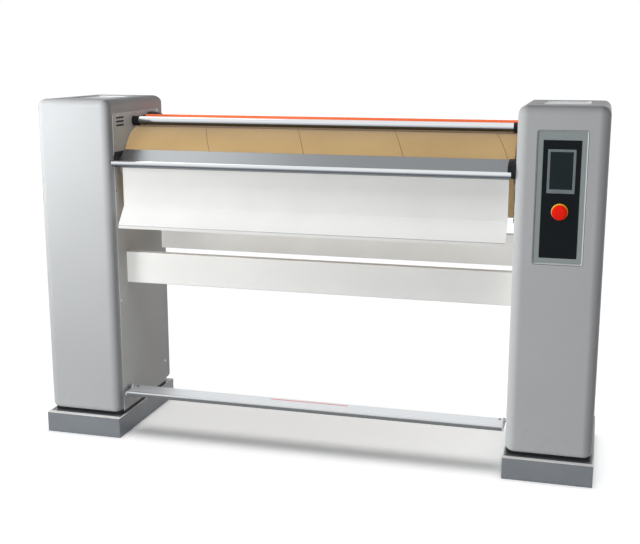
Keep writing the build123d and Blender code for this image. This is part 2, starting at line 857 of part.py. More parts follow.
def straight_run_rollers():
    """Centres of the chain's rollers on its two straight runs, clear of the teeth."""
    links_on_big = roll_sprocket_teeth * (pi / 2 + wrap_angle) / (2 * pi)
    links_on_small = motor_sprocket_teeth * (pi / 2 - wrap_angle) / (2 * pi)
    straight_links = chain_links / 2 - links_on_big - links_on_small
    first = int(links_on_big) + 1 + links_clear_of_teeth
    last = int(links_on_big + straight_links) - links_clear_of_teeth
    places = []
    for link in range(first, last + 1):
        along = (link - links_on_big) * chain_pitch
        y = roll_pitch_radius * cos(wrap_angle) - along * sin(wrap_angle)
        z = roll_axis_z - roll_pitch_radius * sin(wrap_angle) - along * cos(wrap_angle)
        places += [(-y, z), (y, z)]
    return places


with BuildPart() as drive_chain_right:
    roller_span = sprocket_width + 2 * plate_clearance
    for plate_x in (
        chain_plane_x - roller_span / 2 - chain_plate_thickness,
        chain_plane_x + roller_span / 2,
    ):
        with BuildSketch(across(plate_x)):
            make_face(chain_loop(chain_plate_height / 2))
            make_face(chain_loop(-chain_plate_height / 2), mode=Mode.SUBTRACT)
        extrude(amount=chain_plate_thickness)
    with BuildSketch(across(chain_plane_x - roller_span / 2 - 1.0)):
        with Locations(*straight_run_rollers()):
            Circle(chain_roller_diameter / 2)
    extrude(amount=roller_span + 2.0)
mirrored("drive_chain", drive_chain_right.part)

# ---------------------------------------------------------------- gearmotor
with BuildPart() as bracket_right:
    bracket_top_z = motor_axis_z + bracket_rise
    bracket_bottom_z = motor_axis_z - bracket_drop
    upper_bolt_y = bracket_top_width / 2 - bracket_bolt_inset
    lower_bolt_y = bracket_bottom_width / 2 - bracket_bolt_inset
    with BuildSketch(across(gearbox_bracket_x)):
        with BuildLine():
            FilletPolyline(
                (-bracket_top_width / 2, bracket_top_z),
                (bracket_top_width / 2, bracket_top_z),
                (bracket_bottom_width / 2, bracket_bottom_z),
                (-bracket_bottom_width / 2, bracket_bottom_z),
                radius=10.0,
                close=True,
            )
        make_face()
        with Locations((0, motor_axis_z)):
            Circle(motor_sprocket_hub_diameter / 2 + 2.0, mode=Mode.SUBTRACT)
    extrude(amount=gearbox_bracket_thickness)
    with BuildSketch(across(frame_back_x)):
        with Locations((0, bracket_top_z - bracket_bolt_inset)):
            with GridLocations(2 * upper_bolt_y, 0, 2, 1):
                Circle(spacer_diameter / 2)
        with Locations((0, bracket_bottom_z + bracket_bolt_inset)):
            with GridLocations(2 * lower_bolt_y, 0, 2, 1):
                Circle(spacer_diameter / 2)
    extrude(amount=gearbox_bracket_x - frame_back_x)
mirrored("gearbox_bracket", bracket_right.part)

with BuildPart() as gearbox_right:
    with BuildSketch(across(gearbox_x)):
        with Locations((0, gearbox_centre_z)):
            RectangleRounded(gearbox_depth, gearbox_height, 16.0)
    extrude(amount=gearbox_width)
    chamfer(gearbox_right.faces().sort_by(Axis.X)[-1].edges(), length=6.0)
    with BuildSketch(across(gearbox_x + gearbox_width - 1.0)):
        with Locations((0, motor_axis_z)):
            Circle(38.0)
    extrude(amount=7.0)
    with BuildSketch(across(gearbox_x)):
        with Locations((0, motor_axis_z)):
            Circle(output_shaft_diameter / 2 + shaft_clearance)
    extrude(amount=40.0, mode=Mode.SUBTRACT)
mirrored("gearbox", gearbox_right.part)

with BuildPart() as motor_right:
    motor_top_z = gearbox_centre_z - gearbox_height / 2
    fin_pitch = (motor_length - 45.0) / motor_fins
    with BuildSketch(Plane.XY.offset(motor_top_z - motor_length)):
        with Locations((motor_centre_x, motor_offset_y)):
            Circle(motor_diameter / 2 - motor_fin_depth)
    extrude(amount=motor_length)
    with BuildSketch(Plane.XY.offset(motor_top_z - motor_length)):
        with Locations((motor_centre_x, motor_offset_y)):
            Circle(motor_diameter / 2)
    extrude(amount=30.0)
    with BuildSketch(Plane.XY.offset(motor_top_z - 8.0)):
        with Locations((motor_centre_x, motor_offset_y)):
            Circle(motor_diameter / 2 - 8.0)
    extrude(amount=8.0)
    for fin in range(motor_fins):
        with BuildSketch(Plane.XY.offset(motor_top_z - 14.0 - fin * fin_pitch)):
            with Locations((motor_centre_x, motor_offset_y)):
                Circle(motor_diameter / 2)
        extrude(amount=-fin_pitch * 0.4)
mirrored("drive_motor", motor_right.part)

# ---------------------------------------------------------------- heated chest
chest_inner_radius = roll_radius + chest_roll_gap
chest_outer_radius = chest_inner_radius + chest_thickness
element_circle = chest_outer_radius + element_diameter / 2 + layer_gap
insulation_inner_radius = element_circle + element_diameter / 2 + 0.5

with BuildPart() as heated_chest:
    with BuildSketch(across(-chest_arm_x)):
        make_face(
            ring_band(chest_inner_radius, chest_outer_radius, chest_low_angle, chest_high_angle)
        )
    extrude(amount=2 * chest_arm_x)
    lead_in = heated_chest.edges().filter_by(Axis.X)
    fillet(lead_in, radius=4.0)
keep("heated_chest", heated_chest)

with BuildPart() as heating_elements:
    with BuildSketch(across(-chest_arm_x + 12.0)):
        for angle in element_angles:
            y = element_circle * cos(radians(angle))
            z = roll_axis_z + element_circle * sin(radians(angle))
            with Locations((y, z)):
                Circle(element_diameter / 2)
    extrude(amount=2 * chest_arm_x - 24.0)
keep("heating_elements", heating_elements)

with BuildPart() as chest_insulation:
    with BuildSketch(across(-chest_arm_x)):
        make_face(
            ring_band(
                insulation_inner_radius,
                insulation_inner_radius + insulation_thickness,
                chest_low_angle + 4.0,
                insulation_high_angle,
            )
        )
    extrude(amount=2 * chest_arm_x)
keep("chest_insulation", chest_insulation)

hood_points = [
    (hood_front_y, hood_front_bottom_z),
    (hood_front_y, hood_front_top_z),
    (hood_break_y, hood_break_z),
    (hood_rear_y, hood_shoulder_z),
]
chest_hood = folded_sheet(-hood_cap_x, hood_cap_x, hood_points[::-1], hood_sheet, 4.0)
keep("chest_hood", chest_hood)

rear_cover_points = [
    (hood_rear_y, hood_shoulder_z - 1.8),
    (hood_rear_y, hood_bottom_z),
    (hood_rear_y - rear_cover_return, hood_bottom_z - rear_cover_return / 2),
]
chest_rear_cover = folded_sheet(-hood_cap_x, hood_cap_x, rear_cover_points[::-1], hood_sheet, 4.0)
keep("chest_rear_cover", chest_rear_cover)

arm_rear_y = hood_rear_y - hood_sheet
arm_top_z = hood_front_bottom_z - 1.5
arm_outline = [
    (chest_pivot_y - chest_boss_radius, chest_pivot_z),
    (chest_pivot_y + chest_boss_radius, chest_pivot_z),
    (arm_rear_y, hood_bottom_z + chest_boss_radius),
    (arm_rear_y, hood_shoulder_z - 3 * hood_sheet),
    (hood_break_y, hood_break_z - 4 * hood_sheet),
    (hood_front_y + 4 * hood_sheet, arm_top_z),
    (chest_arm_front_y, arm_top_z),
    (chest_arm_front_y, press_pin_z),
    (chest_arm_waist_y, chest_waist_z),
]

with BuildPart() as chest_arms:
    with BuildSketch(across(chest_arm_x)):
        Polygon(*arm_outline, align=None)
        with Locations((chest_pivot_y, chest_pivot_z)):
            Circle(chest_boss_radius)
            Circle(chest_pivot_diameter / 2 + shaft_clearance, mode=Mode.SUBTRACT)
        with Locations((0, roll_axis_z)):
            Circle(roll_radius + 2.5, mode=Mode.SUBTRACT)
    extrude(amount=chest_arm_thickness)
    with BuildSketch(across(chest_arm_x)):
        with Locations((press_pin_y, press_pin_z)):
            Circle(press_pin_diameter / 2)
    extrude(amount=frame_back_x + 30.0 - chest_arm_x)
    mirror(about=Plane.YZ)
keep("chest_arms", chest_arms)

cap_rear_y = hood_rear_y + hood_cap_rear_overhang
cap_top_z = hood_front_top_z + hood_cap_rise
cap_top = [
    (hood_cap_front_y, hood_front_bottom_z + hood_sheet),
    (hood_front_y + hood_sheet, hood_front_top_z - 2 * hood_cap_rise),
    (hood_cap_peak_y - hood_cap_flat / 2, cap_top_z),
    (hood_cap_peak_y + hood_cap_flat / 2, cap_top_z),
    (hood_break_y + hood_cap_flat, hood_break_z + hood_sheet / 2),
]
cap_rear = [
    (cap_rear_y, hood_shoulder_z + hood_sheet),
    (cap_rear_y, hood_bottom_z),
    (chest_pivot_y, hood_bottom_z),
    (chest_arm_waist_y, chest_waist_z),
    (hood_cap_front_y, press_pin_z),
]

with BuildPart() as hood_end_caps:
    with BuildSketch(across(hood_cap_x)) as cap_face:
        Polygon(*cap_top, *cap_rear, align=None)
        fillet(cap_face.vertices().group_by(Axis.Y)[-1], radius=8.0)
        with Locations((0, roll_axis_z)):
            Circle(clear_of_roll, mode=Mode.SUBTRACT)
        with Locations((press_pin_y, press_pin_z)):
            Circle(press_pin_diameter / 2 + 0.5, mode=Mode.SUBTRACT)
    extrude(amount=hood_cap_thickness)
    mirror(about=Plane.YZ)
keep("hood_end_caps", hood_end_caps)

with BuildPart() as chest_pivot_pins:
    with BuildSketch(across(chest_arm_x - 6.0)):
        with Locations((chest_pivot_y, chest_pivot_z)):
            Circle(chest_pivot_diameter / 2)
    extrude(amount=frame_back_x + 14.0 - chest_arm_x + 6.0)
    with BuildSketch(across(hood_cap_x + 1.0)):
        with Locations((chest_pivot_y, chest_pivot_z)):
            Circle(chest_pivot_diameter / 2 + 6.0)
    extrude(amount=half_gap - hood_cap_x - 1.0)
    mirror(about=Plane.YZ)
keep("chest_pivot_pins", chest_pivot_pins)

# ---------------------------------------------------------------- chest actuators
press_x = frame_back_x + press_cylinder_diameter / 2 + 2.0
fork_x = press_x - press_fork_thickness / 2
fork_front_y = press_pin_y - press_fork_length / 2
cylinder_back_y = fork_front_y - press_rod_exposed
cylinder_front_y = cylinder_back_y - press_cylinder_length

with BuildPart() as press_cylinders:
    with BuildSketch(facing_front(cylinder_back_y)):
        with Locations((press_x, press_pin_z)):
            Circle(press_cylinder_diameter / 2)
    extrude(amount=cylinder_back_y - cylinder_front_y)
    for saddle_y in (cylinder_front_y + press_saddle_width, cylinder_back_y - press_saddle_width):
        with BuildSketch(across(frame_back_x)):
            with Locations((saddle_y, press_pin_z)):
                Rectangle(press_saddle_width, 0.8 * press_cylinder_diameter)
        extrude(amount=press_x - frame_back_x)
    with BuildSketch(facing_front(cylinder_back_y)):
        with Locations((press_x, press_pin_z)):
            Circle(press_rod_diameter / 2 + shaft_clearance)
    extrude(amount=press_rod_inside + press_travel, mode=Mode.SUBTRACT)
    mirror(about=Plane.YZ)
keep("press_cylinders", press_cylinders)

with BuildPart() as press_rods:
    with BuildSketch(facing_front(fork_front_y)):
        with Locations((press_x, press_pin_z)):
            Circle(press_rod_diameter / 2)
    extrude(amount=press_rod_exposed + press_rod_inside)
    with BuildSketch(across(fork_x)):
        with Locations((press_pin_y, press_pin_z)):
            RectangleRounded(press_fork_length, press_fork_height, 5.0)
            SlotOverall(
                press_pin_diameter + 8.0, press_pin_diameter + 0.6, rotation=90, mode=Mode.SUBTRACT
            )
    extrude(amount=press_fork_thickness)
    mirror(about=Plane.YZ)
keep("press_rods", press_rods)

# ---------------------------------------------------------------- finger guard
with BuildPart() as guard_bar:
    with BuildSketch(across(-guard_bracket_x)):
        with Locations((guard_bar_y, guard_bar_z)):
            Circle(guard_bar_diameter / 2)
            Circle(guard_bar_diameter / 2 - guard_bar_wall, mode=Mode.SUBTRACT)
    extrude(amount=2 * guard_bracket_x)
keep("guard_bar", guard_bar)

with BuildPart() as guard_brackets:
    with BuildSketch(across(guard_bracket_x)):
        with Locations((guard_bar_y, guard_bar_z)):
            Circle(guard_bar_diameter / 2 + 1.5)
        with Locations((guard_bar_y, guard_pivot_z)):
            Circle(6.5)
    extrude(amount=guard_bracket_width)
    with BuildSketch(across(guard_bracket_x - 18.0)):
        with Locations((guard_bar_y, guard_bar_z)):
            Circle(guard_bar_diameter / 2 - guard_bar_wall - 0.1)
    extrude(amount=18.0)
    with BuildSketch(across(guard_bracket_outer_x)):
        with Locations((guard_bar_y, guard_pivot_z)):
            Circle(guard_pivot_diameter / 2)
    extrude(amount=frame_back_x + 10.0 - guard_bracket_outer_x)
    mirror(about=Plane.YZ)
keep("guard_brackets", guard_brackets)

# ---------------------------------------------------------------- feed table
flange_y = apron_y + apron_sheet
feed_points = [
    (feed_rear_y, feed_rear_z),
    (feed_front_y, feed_front_z),
    (feed_front_y, flange_z),
    (flange_y, flange_z),
    (flange_y, flange_z - feed_web_height),
]
feed_table = folded_sheet(feed_left_x, feed_right_x, feed_points, feed_sheet, 3.0)
keep("feed_table", feed_table)

with BuildPart() as feed_nose:
    nose_left_x = -half_gap + 1.0
    nose_right_x = roll_end_x - 2.0
    with BuildSketch(across(nose_left_x)):
        with Locations((nose_axis_y, nose_axis_z)):
            Circle(nose_radius)
            Rectangle(
                feed_front_y - nose_axis_y, 2 * nose_radius, align=(Align.MIN, Align.CENTER)
            )
    extrude(amount=nose_right_x - nose_left_x)
keep("feed_nose", feed_nose)

with BuildPart() as feed_caps:
    # left cap, between the table's edge and the pillar
    cap_top_z = service_plate_bottom_z - 2.0
    with BuildSketch(across(-half_gap)):
        Polygon(
            (feed_front_y + 2.0, flange_z),
            (feed_front_y + 2.0, cap_top_z - 8.0),
            (feed_front_y + 11.0, cap_top_z),
            (feed_rear_y + 5.0, cap_top_z),
            (feed_rear_y + 5.0, flange_z),
            align=None,
        )
        with Locations((0, roll_axis_z)):
            Circle(clear_of_roll, mode=Mode.SUBTRACT)
    extrude(amount=feed_left_x + half_gap)
    # right cap, which also closes the end of the nose
    feed_cap_rear_y = feed_rear_y - 5.0
    with BuildSketch(across(nose_right_x)):
        with BuildLine():
            FilletPolyline(
                (nose_axis_y - nose_radius, nose_axis_z - nose_radius),
                (nose_axis_y - nose_radius, nose_axis_z + nose_radius + 2.0),
                (feed_front_y - 4.0, feed_front_z + 22.0),
                (feed_front_y + 12.0, feed_front_z + 31.0),
                (feed_cap_rear_y, feed_rear_z + 4.0),
                (feed_cap_rear_y, nose_axis_z - nose_radius),
                radius=4.0,
                close=True,
            )
        make_face()
        with Locations((0, roll_axis_z)):
            Circle(clear_of_roll, mode=Mode.SUBTRACT)
    extrude(amount=half_gap - nose_right_x)
    with BuildSketch(across(feed_right_x)):
        Polygon(
            (feed_front_y + 0.3, nose_axis_z - nose_radius),
            (feed_front_y + 0.3, nose_axis_z + nose_radius + 0.5),
            (feed_front_y - 9.0, nose_axis_z + nose_radius + 0.5),
            (feed_front_y - 4.0, feed_front_z + 18.0),
            (feed_front_y + 12.0, feed_front_z + 28.0),
            (feed_cap_rear_y, feed_rear_z + 2.0),
            (feed_cap_rear_y, nose_axis_z - nose_radius),
            align=None,
        )
        with Locations((0, roll_axis_z)):
            Circle(clear_of_roll, mode=Mode.SUBTRACT)
    extrude(amount=nose_right_x - feed_right_x)
keep("feed_caps", feed_caps)

apron_points = [
    (apron_y, apron_top_z),
    (apron_y, apron_kink_z),
    (apron_lip_y, apron_lip_z),
    (apron_lip_y, apron_lip_z - apron_hem),
]
keep(
    "apron", folded_sheet(-apron_half_length, apron_half_length, apron_points, apron_sheet, 3.0)
)

# ---------------------------------------------------------------- pedal bar
with BuildPart() as pedal_bar:
    pedal_centre_y = pedal_front_y + pedal_depth / 2
    pedal_centre_z = pedal_top_z - pedal_height / 2
    with BuildSketch(across(-pedal_half_length)):
        with Locations((pedal_centre_y, pedal_centre_z)):
            RectangleRounded(pedal_depth, pedal_height, 4.0)
            with GridLocations(pedal_depth / 2, 0, 2, 1):
                RectangleRounded(
                    pedal_depth / 2 - 1.5 * pedal_wall,
                    pedal_height - 2 * pedal_wall,
                    1.5,
                    mode=Mode.SUBTRACT,
                )
        # shallow non-slip grooves along the top
        with Locations((pedal_centre_y, pedal_top_z)):
            with GridLocations(11.0, 0, 5, 1):
                Rectangle(3.0, 2.0, mode=Mode.SUBTRACT)
    extrude(amount=2 * pedal_half_length)
keep("pedal_bar", pedal_bar)

with BuildPart() as pedal_end_plates:
    with BuildSketch(across(pedal_half_length)):
        with Locations((pedal_centre_y, pedal_centre_z)):
            RectangleRounded(pedal_depth, pedal_height, 4.0)
        with Locations((pedal_pivot_y, pedal_pivot_z)):
            Circle(pedal_pivot_diameter / 2 + 3.0)
    extrude(amount=pedal_end_plate)
    with BuildSketch(across(pedal_half_length + pedal_end_plate)):
        with Locations((pedal_pivot_y, pedal_pivot_z)):
            Circle(pedal_pivot_diameter / 2)
    extrude(amount=frame_back_x + 12.0 - pedal_half_length - pedal_end_plate)
    mirror(about=Plane.YZ)
keep("pedal_end_plates", pedal_end_plates)

# ---------------------------------------------------------------- control panel
control_centre_z = (control_bottom_z + control_top_z) / 2
estop_place = (pillar_centre_x, estop_z)

with BuildPart() as panel_plate:
    with BuildSketch(facing_front(control_face_y + control_plate_thickness - control_recess)):
        with Locations((pillar_centre_x, control_centre_z)):
            RectangleRounded(
                control_width + 2 * control_plate_rim,
                control_height + 2 * control_plate_rim,
                control_corner_radius + control_plate_rim,
            )
    extrude(amount=control_plate_thickness)
    with BuildSketch(facing_front(control_face_y)):
        with Locations((pillar_centre_x, control_centre_z)):
            RectangleRounded(control_width, control_height, control_corner_radius)
    extrude(amount=control_recess, mode=Mode.SUBTRACT)
    with BuildSketch(facing_front(estop_block_y)):
        with Locations(estop_place):
            Circle(estop_stem_diameter / 2 + slack)
    extrude(amount=control_plate_thickness, mode=Mode.SUBTRACT)
keep("panel_plate", panel_plate)

with BuildPart() as panel_fascia:
    with BuildSketch(facing_front(control_face_y)):
        with Locations((pillar_centre_x, fascia_bottom_z + fascia_height / 2)):
            RectangleRounded(fascia_width, fascia_height, 2.0)
        with Locations(estop_place):
            Circle(estop_stem_diameter / 2 + slack, mode=Mode.SUBTRACT)
    extrude(amount=fascia_thickness)
keep("panel_fascia", panel_fascia)

glass_width = bezel_width - 2 * bezel_frame
glass_height = bezel_height - bezel_frame - bezel_lower_frame
glass_centre_z = bezel_bottom_z + bezel_lower_frame + glass_height / 2

with BuildPart() as display_bezel:
    with BuildSketch(facing_front(fascia_face_y)):
        with Locations((pillar_centre_x, bezel_bottom_z + bezel_height / 2)):
            RectangleRounded(bezel_width, bezel_height, 2.0)
        with Locations((pillar_centre_x, glass_centre_z)):
            Rectangle(glass_width, glass_height, mode=Mode.SUBTRACT)
    extrude(amount=bezel_thickness)
    chamfer(display_bezel.faces().sort_by(Axis.Y)[0].edges(), length=0.8)
keep("display_bezel", display_bezel)

with BuildPart() as display_glass:
    with BuildSketch(facing_front(fascia_face_y)):
        with Locations((pillar_centre_x, glass_centre_z)):
            Rectangle(glass_width - 0.2, glass_height - 0.2)
    extrude(amount=glass_thickness)
keep("display_glass", display_glass)

with BuildPart() as estop_collar:
    with BuildSketch(facing_front(fascia_face_y)):
        with Locations(estop_place):
            Circle(estop_collar_diameter / 2)
    extrude(amount=estop_collar_thickness)
    chamfer(estop_collar.faces().sort_by(Axis.Y)[0].edges(), length=1.5)
    with BuildSketch(facing_front(fascia_face_y)):
        with Locations(estop_place):
            Circle(estop_stem_diameter / 2 + slack)
    extrude(amount=estop_collar_thickness, mode=Mode.SUBTRACT)
keep("estop_collar", estop_collar)

stem_back_y = estop_block_y + 18.0
with BuildPart() as estop_contact_block:
    block_depth = stem_back_y + estop_travel + 6.0 - estop_block_y
    with BuildSketch(facing_front(estop_block_y + block_depth)):
        with Locations(estop_place):
            RectangleRounded(estop_block_size, estop_block_size, 4.0)
    extrude(amount=block_depth)
    with BuildSketch(facing_front(stem_back_y + estop_travel + 1.0)):
        with Locations(estop_place):
            Circle(estop_stem_diameter / 2 + shaft_clearance)
    extrude(amount=stem_back_y + estop_travel + 1.0 - estop_block_y, mode=Mode.SUBTRACT)
keep("estop_contact_block", estop_contact_block)

pilot_front_y = estop_head_back_y - 7.0
with BuildPart() as estop_stem:
    with BuildSketch(facing_front(stem_back_y)):
        with Locations(estop_place):
            Circle(estop_stem_diameter / 2)
    extrude(amount=stem_back_y - estop_head_back_y - 0.1)
    with BuildSketch(facing_front(stem_back_y)):
        with Locations(estop_place):
            Circle(estop_pilot_diameter / 2)
    extrude(amount=stem_back_y - pilot_front_y)
keep("estop_stem", estop_stem)

with BuildPart() as estop_head:
    head_radius = estop_head_diameter / 2
    with BuildSketch(facing_front(estop_head_back_y)):
        with Locations(estop_place):
            Circle(head_radius)
    extrude(amount=estop_head_height)
    fillet(estop_head.faces().sort_by(Axis.Y)[0].edges(), radius=5.0)
    fillet(estop_head.faces().sort_by(Axis.Y)[-1].edges(), radius=2.0)
    with BuildSketch(facing_front(estop_head_back_y)):
        with Locations(estop_place):
            Circle(estop_pilot_diameter / 2 + shaft_clearance)
    extrude(amount=estop_head_back_y - pilot_front_y + 0.3, mode=Mode.SUBTRACT)
keep("estop_head", estop_head)

# ---------------------------------------------------------------- electrics
with BuildPart() as control_box:
    with BuildSketch(across(frame_back_x)):
        with Locations((0, control_box_z)):
            RectangleRounded(control_box_depth, control_box_height, 6.0)
    extrude(amount=control_box_width)
    fillet(control_box.faces().sort_by(Axis.X)[-1].edges(), radius=3.0)
    with BuildSketch(across(frame_back_x)):
        with Locations((0, control_box_z)):
            RectangleRounded(
                control_box_depth - 2 * control_box_wall,
                control_box_height - 2 * control_box_wall,
                4.0,
            )
    extrude(amount=control_box_width - control_box_wall, mode=Mode.SUBTRACT)
keep("control_box", control_box)

with BuildPart() as contactors:
    with BuildSketch(across(frame_back_x)):
        with Locations((0, control_box_z)):
            with GridLocations(contactor_width + contactor_gap, 0, 3, 1):
                Rectangle(contactor_width, contactor_height)
    extrude(amount=contactor_depth)
    with BuildSketch(across(frame_back_x + contactor_depth)):
        with Locations((0, control_box_z)):
            with GridLocations(contactor_width + contactor_gap, 0, 3, 1):
                Rectangle(contactor_nose_width, contactor_nose_height)
    extrude(amount=contactor_nose_depth)
keep("contactors", contactors)

gland_seat_y = pillar_half_depth - shell_wall
gland_back_y = gland_seat_y + gland_hex_height + gland_dome_height

with BuildPart() as gland_plate:
    with BuildSketch(facing_front(gland_seat_y)):
        with Locations((gland_x, gland_z)):
            RectangleRounded(gland_plate_size, gland_plate_size, 6.0)
            Circle(gland_thread_diameter / 2 + slack, mode=Mode.SUBTRACT)
    extrude(amount=gland_plate_thickness)
keep("gland_plate", gland_plate)

with BuildPart() as cable_gland:
    with BuildSketch(facing_front(gland_seat_y)):
        with Locations((gland_x, gland_z)):
            Circle(gland_thread_diameter / 2)
    extrude(amount=gland_thread_length)
    with BuildSketch(facing_front(gland_seat_y - gland_plate_thickness)):
        with Locations((gland_x, gland_z)):
            RegularPolygon(gland_across_flats / 2, 6, major_radius=False)
    extrude(amount=gland_nut_height)
    with BuildSketch(facing_front(gland_seat_y + gland_hex_height)):
        with Locations((gland_x, gland_z)):
            RegularPolygon(gland_across_flats / 2, 6, major_radius=False)
    extrude(amount=gland_hex_height)
    with BuildSketch(facing_front(gland_back_y)):
        with Locations((gland_x, gland_z)):
            Circle(gland_dome_diameter / 2)
    extrude(amount=gland_dome_height)
    fillet(cable_gland.faces().sort_by(Axis.Y)[-1].edges(), radius=3.0)
    with BuildSketch(facing_front(gland_back_y)):
        with Locations((gland_x, gland_z)):
            Circle(gland_bore_diameter / 2)
    extrude(amount=gland_back_y - gland_seat_y + gland_thread_length, mode=Mode.SUBTRACT)
keep("cable_gland", cable_gland)

# ---------------------------------------------------------------- export
os.makedirs("parts", exist_ok=True)
for name, part in pieces.items():
    export_step(part, f"parts/{name}.step")
print(len(pieces), "pieces; motor shaft height", round(motor_axis_z, 2))
print("chain takes", round(degrees(2 * wrap_angle), 2), "degrees more on the roll sprocket")
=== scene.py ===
"""Looks, light and camera for the flatwork ironer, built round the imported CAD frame.

X runs along the roll, Y to the back and Z up, in metres, with the origin on the floor.
"""

import json
import math

import bmesh
import bpy
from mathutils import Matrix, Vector

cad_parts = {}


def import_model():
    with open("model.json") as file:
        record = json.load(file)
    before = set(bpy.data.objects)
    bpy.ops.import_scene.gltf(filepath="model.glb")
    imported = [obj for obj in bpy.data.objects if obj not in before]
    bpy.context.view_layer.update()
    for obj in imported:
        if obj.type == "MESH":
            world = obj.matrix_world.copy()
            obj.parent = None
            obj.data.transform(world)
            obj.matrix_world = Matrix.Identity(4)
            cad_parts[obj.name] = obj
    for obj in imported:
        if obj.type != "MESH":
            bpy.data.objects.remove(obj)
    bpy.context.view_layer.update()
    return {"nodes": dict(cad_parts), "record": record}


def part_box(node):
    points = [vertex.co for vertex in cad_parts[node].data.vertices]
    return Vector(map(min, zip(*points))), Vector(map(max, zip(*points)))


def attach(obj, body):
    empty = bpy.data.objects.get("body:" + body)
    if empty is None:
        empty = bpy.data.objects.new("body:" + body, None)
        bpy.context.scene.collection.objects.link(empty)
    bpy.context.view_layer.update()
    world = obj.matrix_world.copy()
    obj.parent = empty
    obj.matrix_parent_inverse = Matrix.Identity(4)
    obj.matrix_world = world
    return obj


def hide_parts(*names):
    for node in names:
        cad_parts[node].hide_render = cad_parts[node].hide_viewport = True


# ---------------------------------------------------------------- camera and light
CAMERA_PLACE = (0.8394, -3.0532, 1.2104)
CAMERA_YAW = 0.2681
CAMERA_PITCH = 0.2103
CAMERA_LENS = 57.88
SENSOR_WIDTH = 36.0
CAMERA_REACH = 100.0

# Name, place, point that it aims at, size and power of each lamp.
AREA_LAMPS = (
    ("key", (-1.1, -0.9, 1.2), (-0.5, 0.0, 0.85), (0.36, 0.3), 6.2),
    ("soft_key", (-1.1, -0.9, 1.2), (-0.5, 0.0, 0.85), (0.36, 0.3), 2.6),
    ("fill", (-2.0, -3.5, 0.85), (0.1, 0.0, 0.6), (1.4, 1.0), 22.0),
    ("front", (-5.2, -7.2, 1.0), (0.0, 0.0, 0.6), (2.5, 2.0), 256.0),
    ("side", (-7.0, -2.2, 1.0), (0.7, 0.0, 0.6), (2.0, 2.0), 195.0),
    ("top", (0.2, -0.9, 2.7), (0.1, 0.0, 0.8), (2.4, 1.0), 22.0),
    ("back", (2.4, 3.6, 0.9), (0.0, 0.0, 0.5), (1.6, 1.2), 28.0),
    ("back", (-2.4, 3.6, 0.9), (0.0, 0.0, 0.5), (1.6, 1.2), 28.0),
    ("right", (5.0, 0.3, 0.9), (0.0, 0.0, 0.5), (1.6, 1.2), 16.0),
    ("left_card", (-3.0, -2.0, 1.25), (0.2, 0.0, 0.7), (1.0, 2.2), 16.0),
    ("top_card", (-1.7, 0.9, 2.9), (-0.6, -0.1, 0.9), (1.4, 1.4), 10.0),
)
SHADOWLESS_LAMPS = ("front", "side")
REFLECTED_LAMPS = ("left_card", "top_card")

# The key lamp leaves out these CAD nodes and added pieces, and the soft key lights only them.
PALE_NODES = ("apron",)
PALE_ADDED = ("roll_cloth_cover", "roll_cloth_seam")

# CAD nodes that other lamps leave out. All lamps but the soft key leave out the floor.
NODES_SPARED_BY = {"side": ("left_shell",), "top": ("left_shell", "right_shell")}

# A sun whose blockers are None is shaded by everything.
FLOOR_SUNS = (
    {"strength": 0.66, "angle": 8.0, "blockers": None},
    {"strength": 0.86, "angle": 34.0, "blockers": ("pedal_bar", "left_plinth", "right_plinth")},
    {"strength": 0.66, "angle": 60.0, "blockers": ("left_plinth", "right_plinth")},
)
WORLD_LIGHT = 0.12
WORLD_COLOUR = (0.97, 0.985, 1.0)
FLOOR_SIZE = 60.0
FLOOR_BOUNCE = 0.3
FLOOR_SEEN = 1.3
SHOWN_RAYS = ("Is Camera Ray", "Is Glossy Ray", "Is Transmission Ray")

# ---------------------------------------------------------------- colours (linear)
PILLAR = (0.56, 0.575, 0.585)
INNER_PANEL = (0.56, 0.56, 0.555)
# Pale tone of the trays on the pillars' tops, partly their own colour and partly a painted
# highlight.
TRAY_TONE_AND_HIGHLIGHT = (0.72, 0.73, 0.74)
PILLAR_SCUFF = (0.47, 0.48, 0.485)
PLINTH = (0.2, 0.217, 0.235)
PLINTH_METALLIC = 0.35
PLINTH_SCUFF = (0.32, 0.335, 0.35)
WHITE_PAINT = (0.86, 0.86, 0.84)
ORANGE = (0.93, 0.18, 0.062)
BLACK_PAINT = (0.02, 0.02, 0.022)
BLACK_PLASTIC = (0.013, 0.013, 0.015)
CLOTH = (0.55, 0.375, 0.175)
CLOTH_DARK = (0.45, 0.3, 0.132)
SEAM = (0.22, 0.135, 0.055)
SEAM_DARK = (0.15, 0.09, 0.035)
FELT = (0.6, 0.57, 0.5)
ALUMINIUM = (0.25, 0.264, 0.276)
CHEST_METAL = (0.5, 0.51, 0.52)
PEDAL_ALUMINIUM = (0.88, 0.9, 0.92)
# Painted shade down the pedal's sides.
PEDAL_SIDE_SHADE = (0.16, 0.17, 0.175)
CHROME = (0.78, 0.805, 0.83)
STEEL = (0.5, 0.5, 0.51)
DARK_STEEL = (0.17, 0.16, 0.15)
MOTOR_PAINT = (0.2, 0.22, 0.24)
CASTING = (0.09, 0.1, 0.11)
PANEL_PLATE = (0.235, 0.262, 0.262)
# Painted shade on the side of the chrome that faces down.
CHROME_PAINTED_SHADE = (0.12, 0.135, 0.155)
FASCIA = (0.004, 0.006, 0.008)
BEZEL = (0.15, 0.18, 0.19)
DISPLAY = (0.001, 0.009, 0.012)
YELLOW = (0.92, 0.52, 0.04)
RED = (0.9, 0.012, 0.004)
RUBBER = (0.012, 0.012, 0.013)
WOOL = (0.7, 0.66, 0.5)
RELAY = (0.35, 0.36, 0.37)

# Nodes that the photograph shows brighter than the other nodes of their slot.
BRIGHTER_NODES = {"pedal_end_plates": "fastener_steel", "feed_nose": "guard_chrome"}

# How far a brushed metal's lines are squeezed along X, Y and Z.
ALONG_THE_ROLL = (1.0, 90.0, 90.0)
UPRIGHT = (90.0, 90.0, 1.0)
ALL_WAYS = (60.0, 60.0, 60.0)
BRUSH_SCALE = 22.0

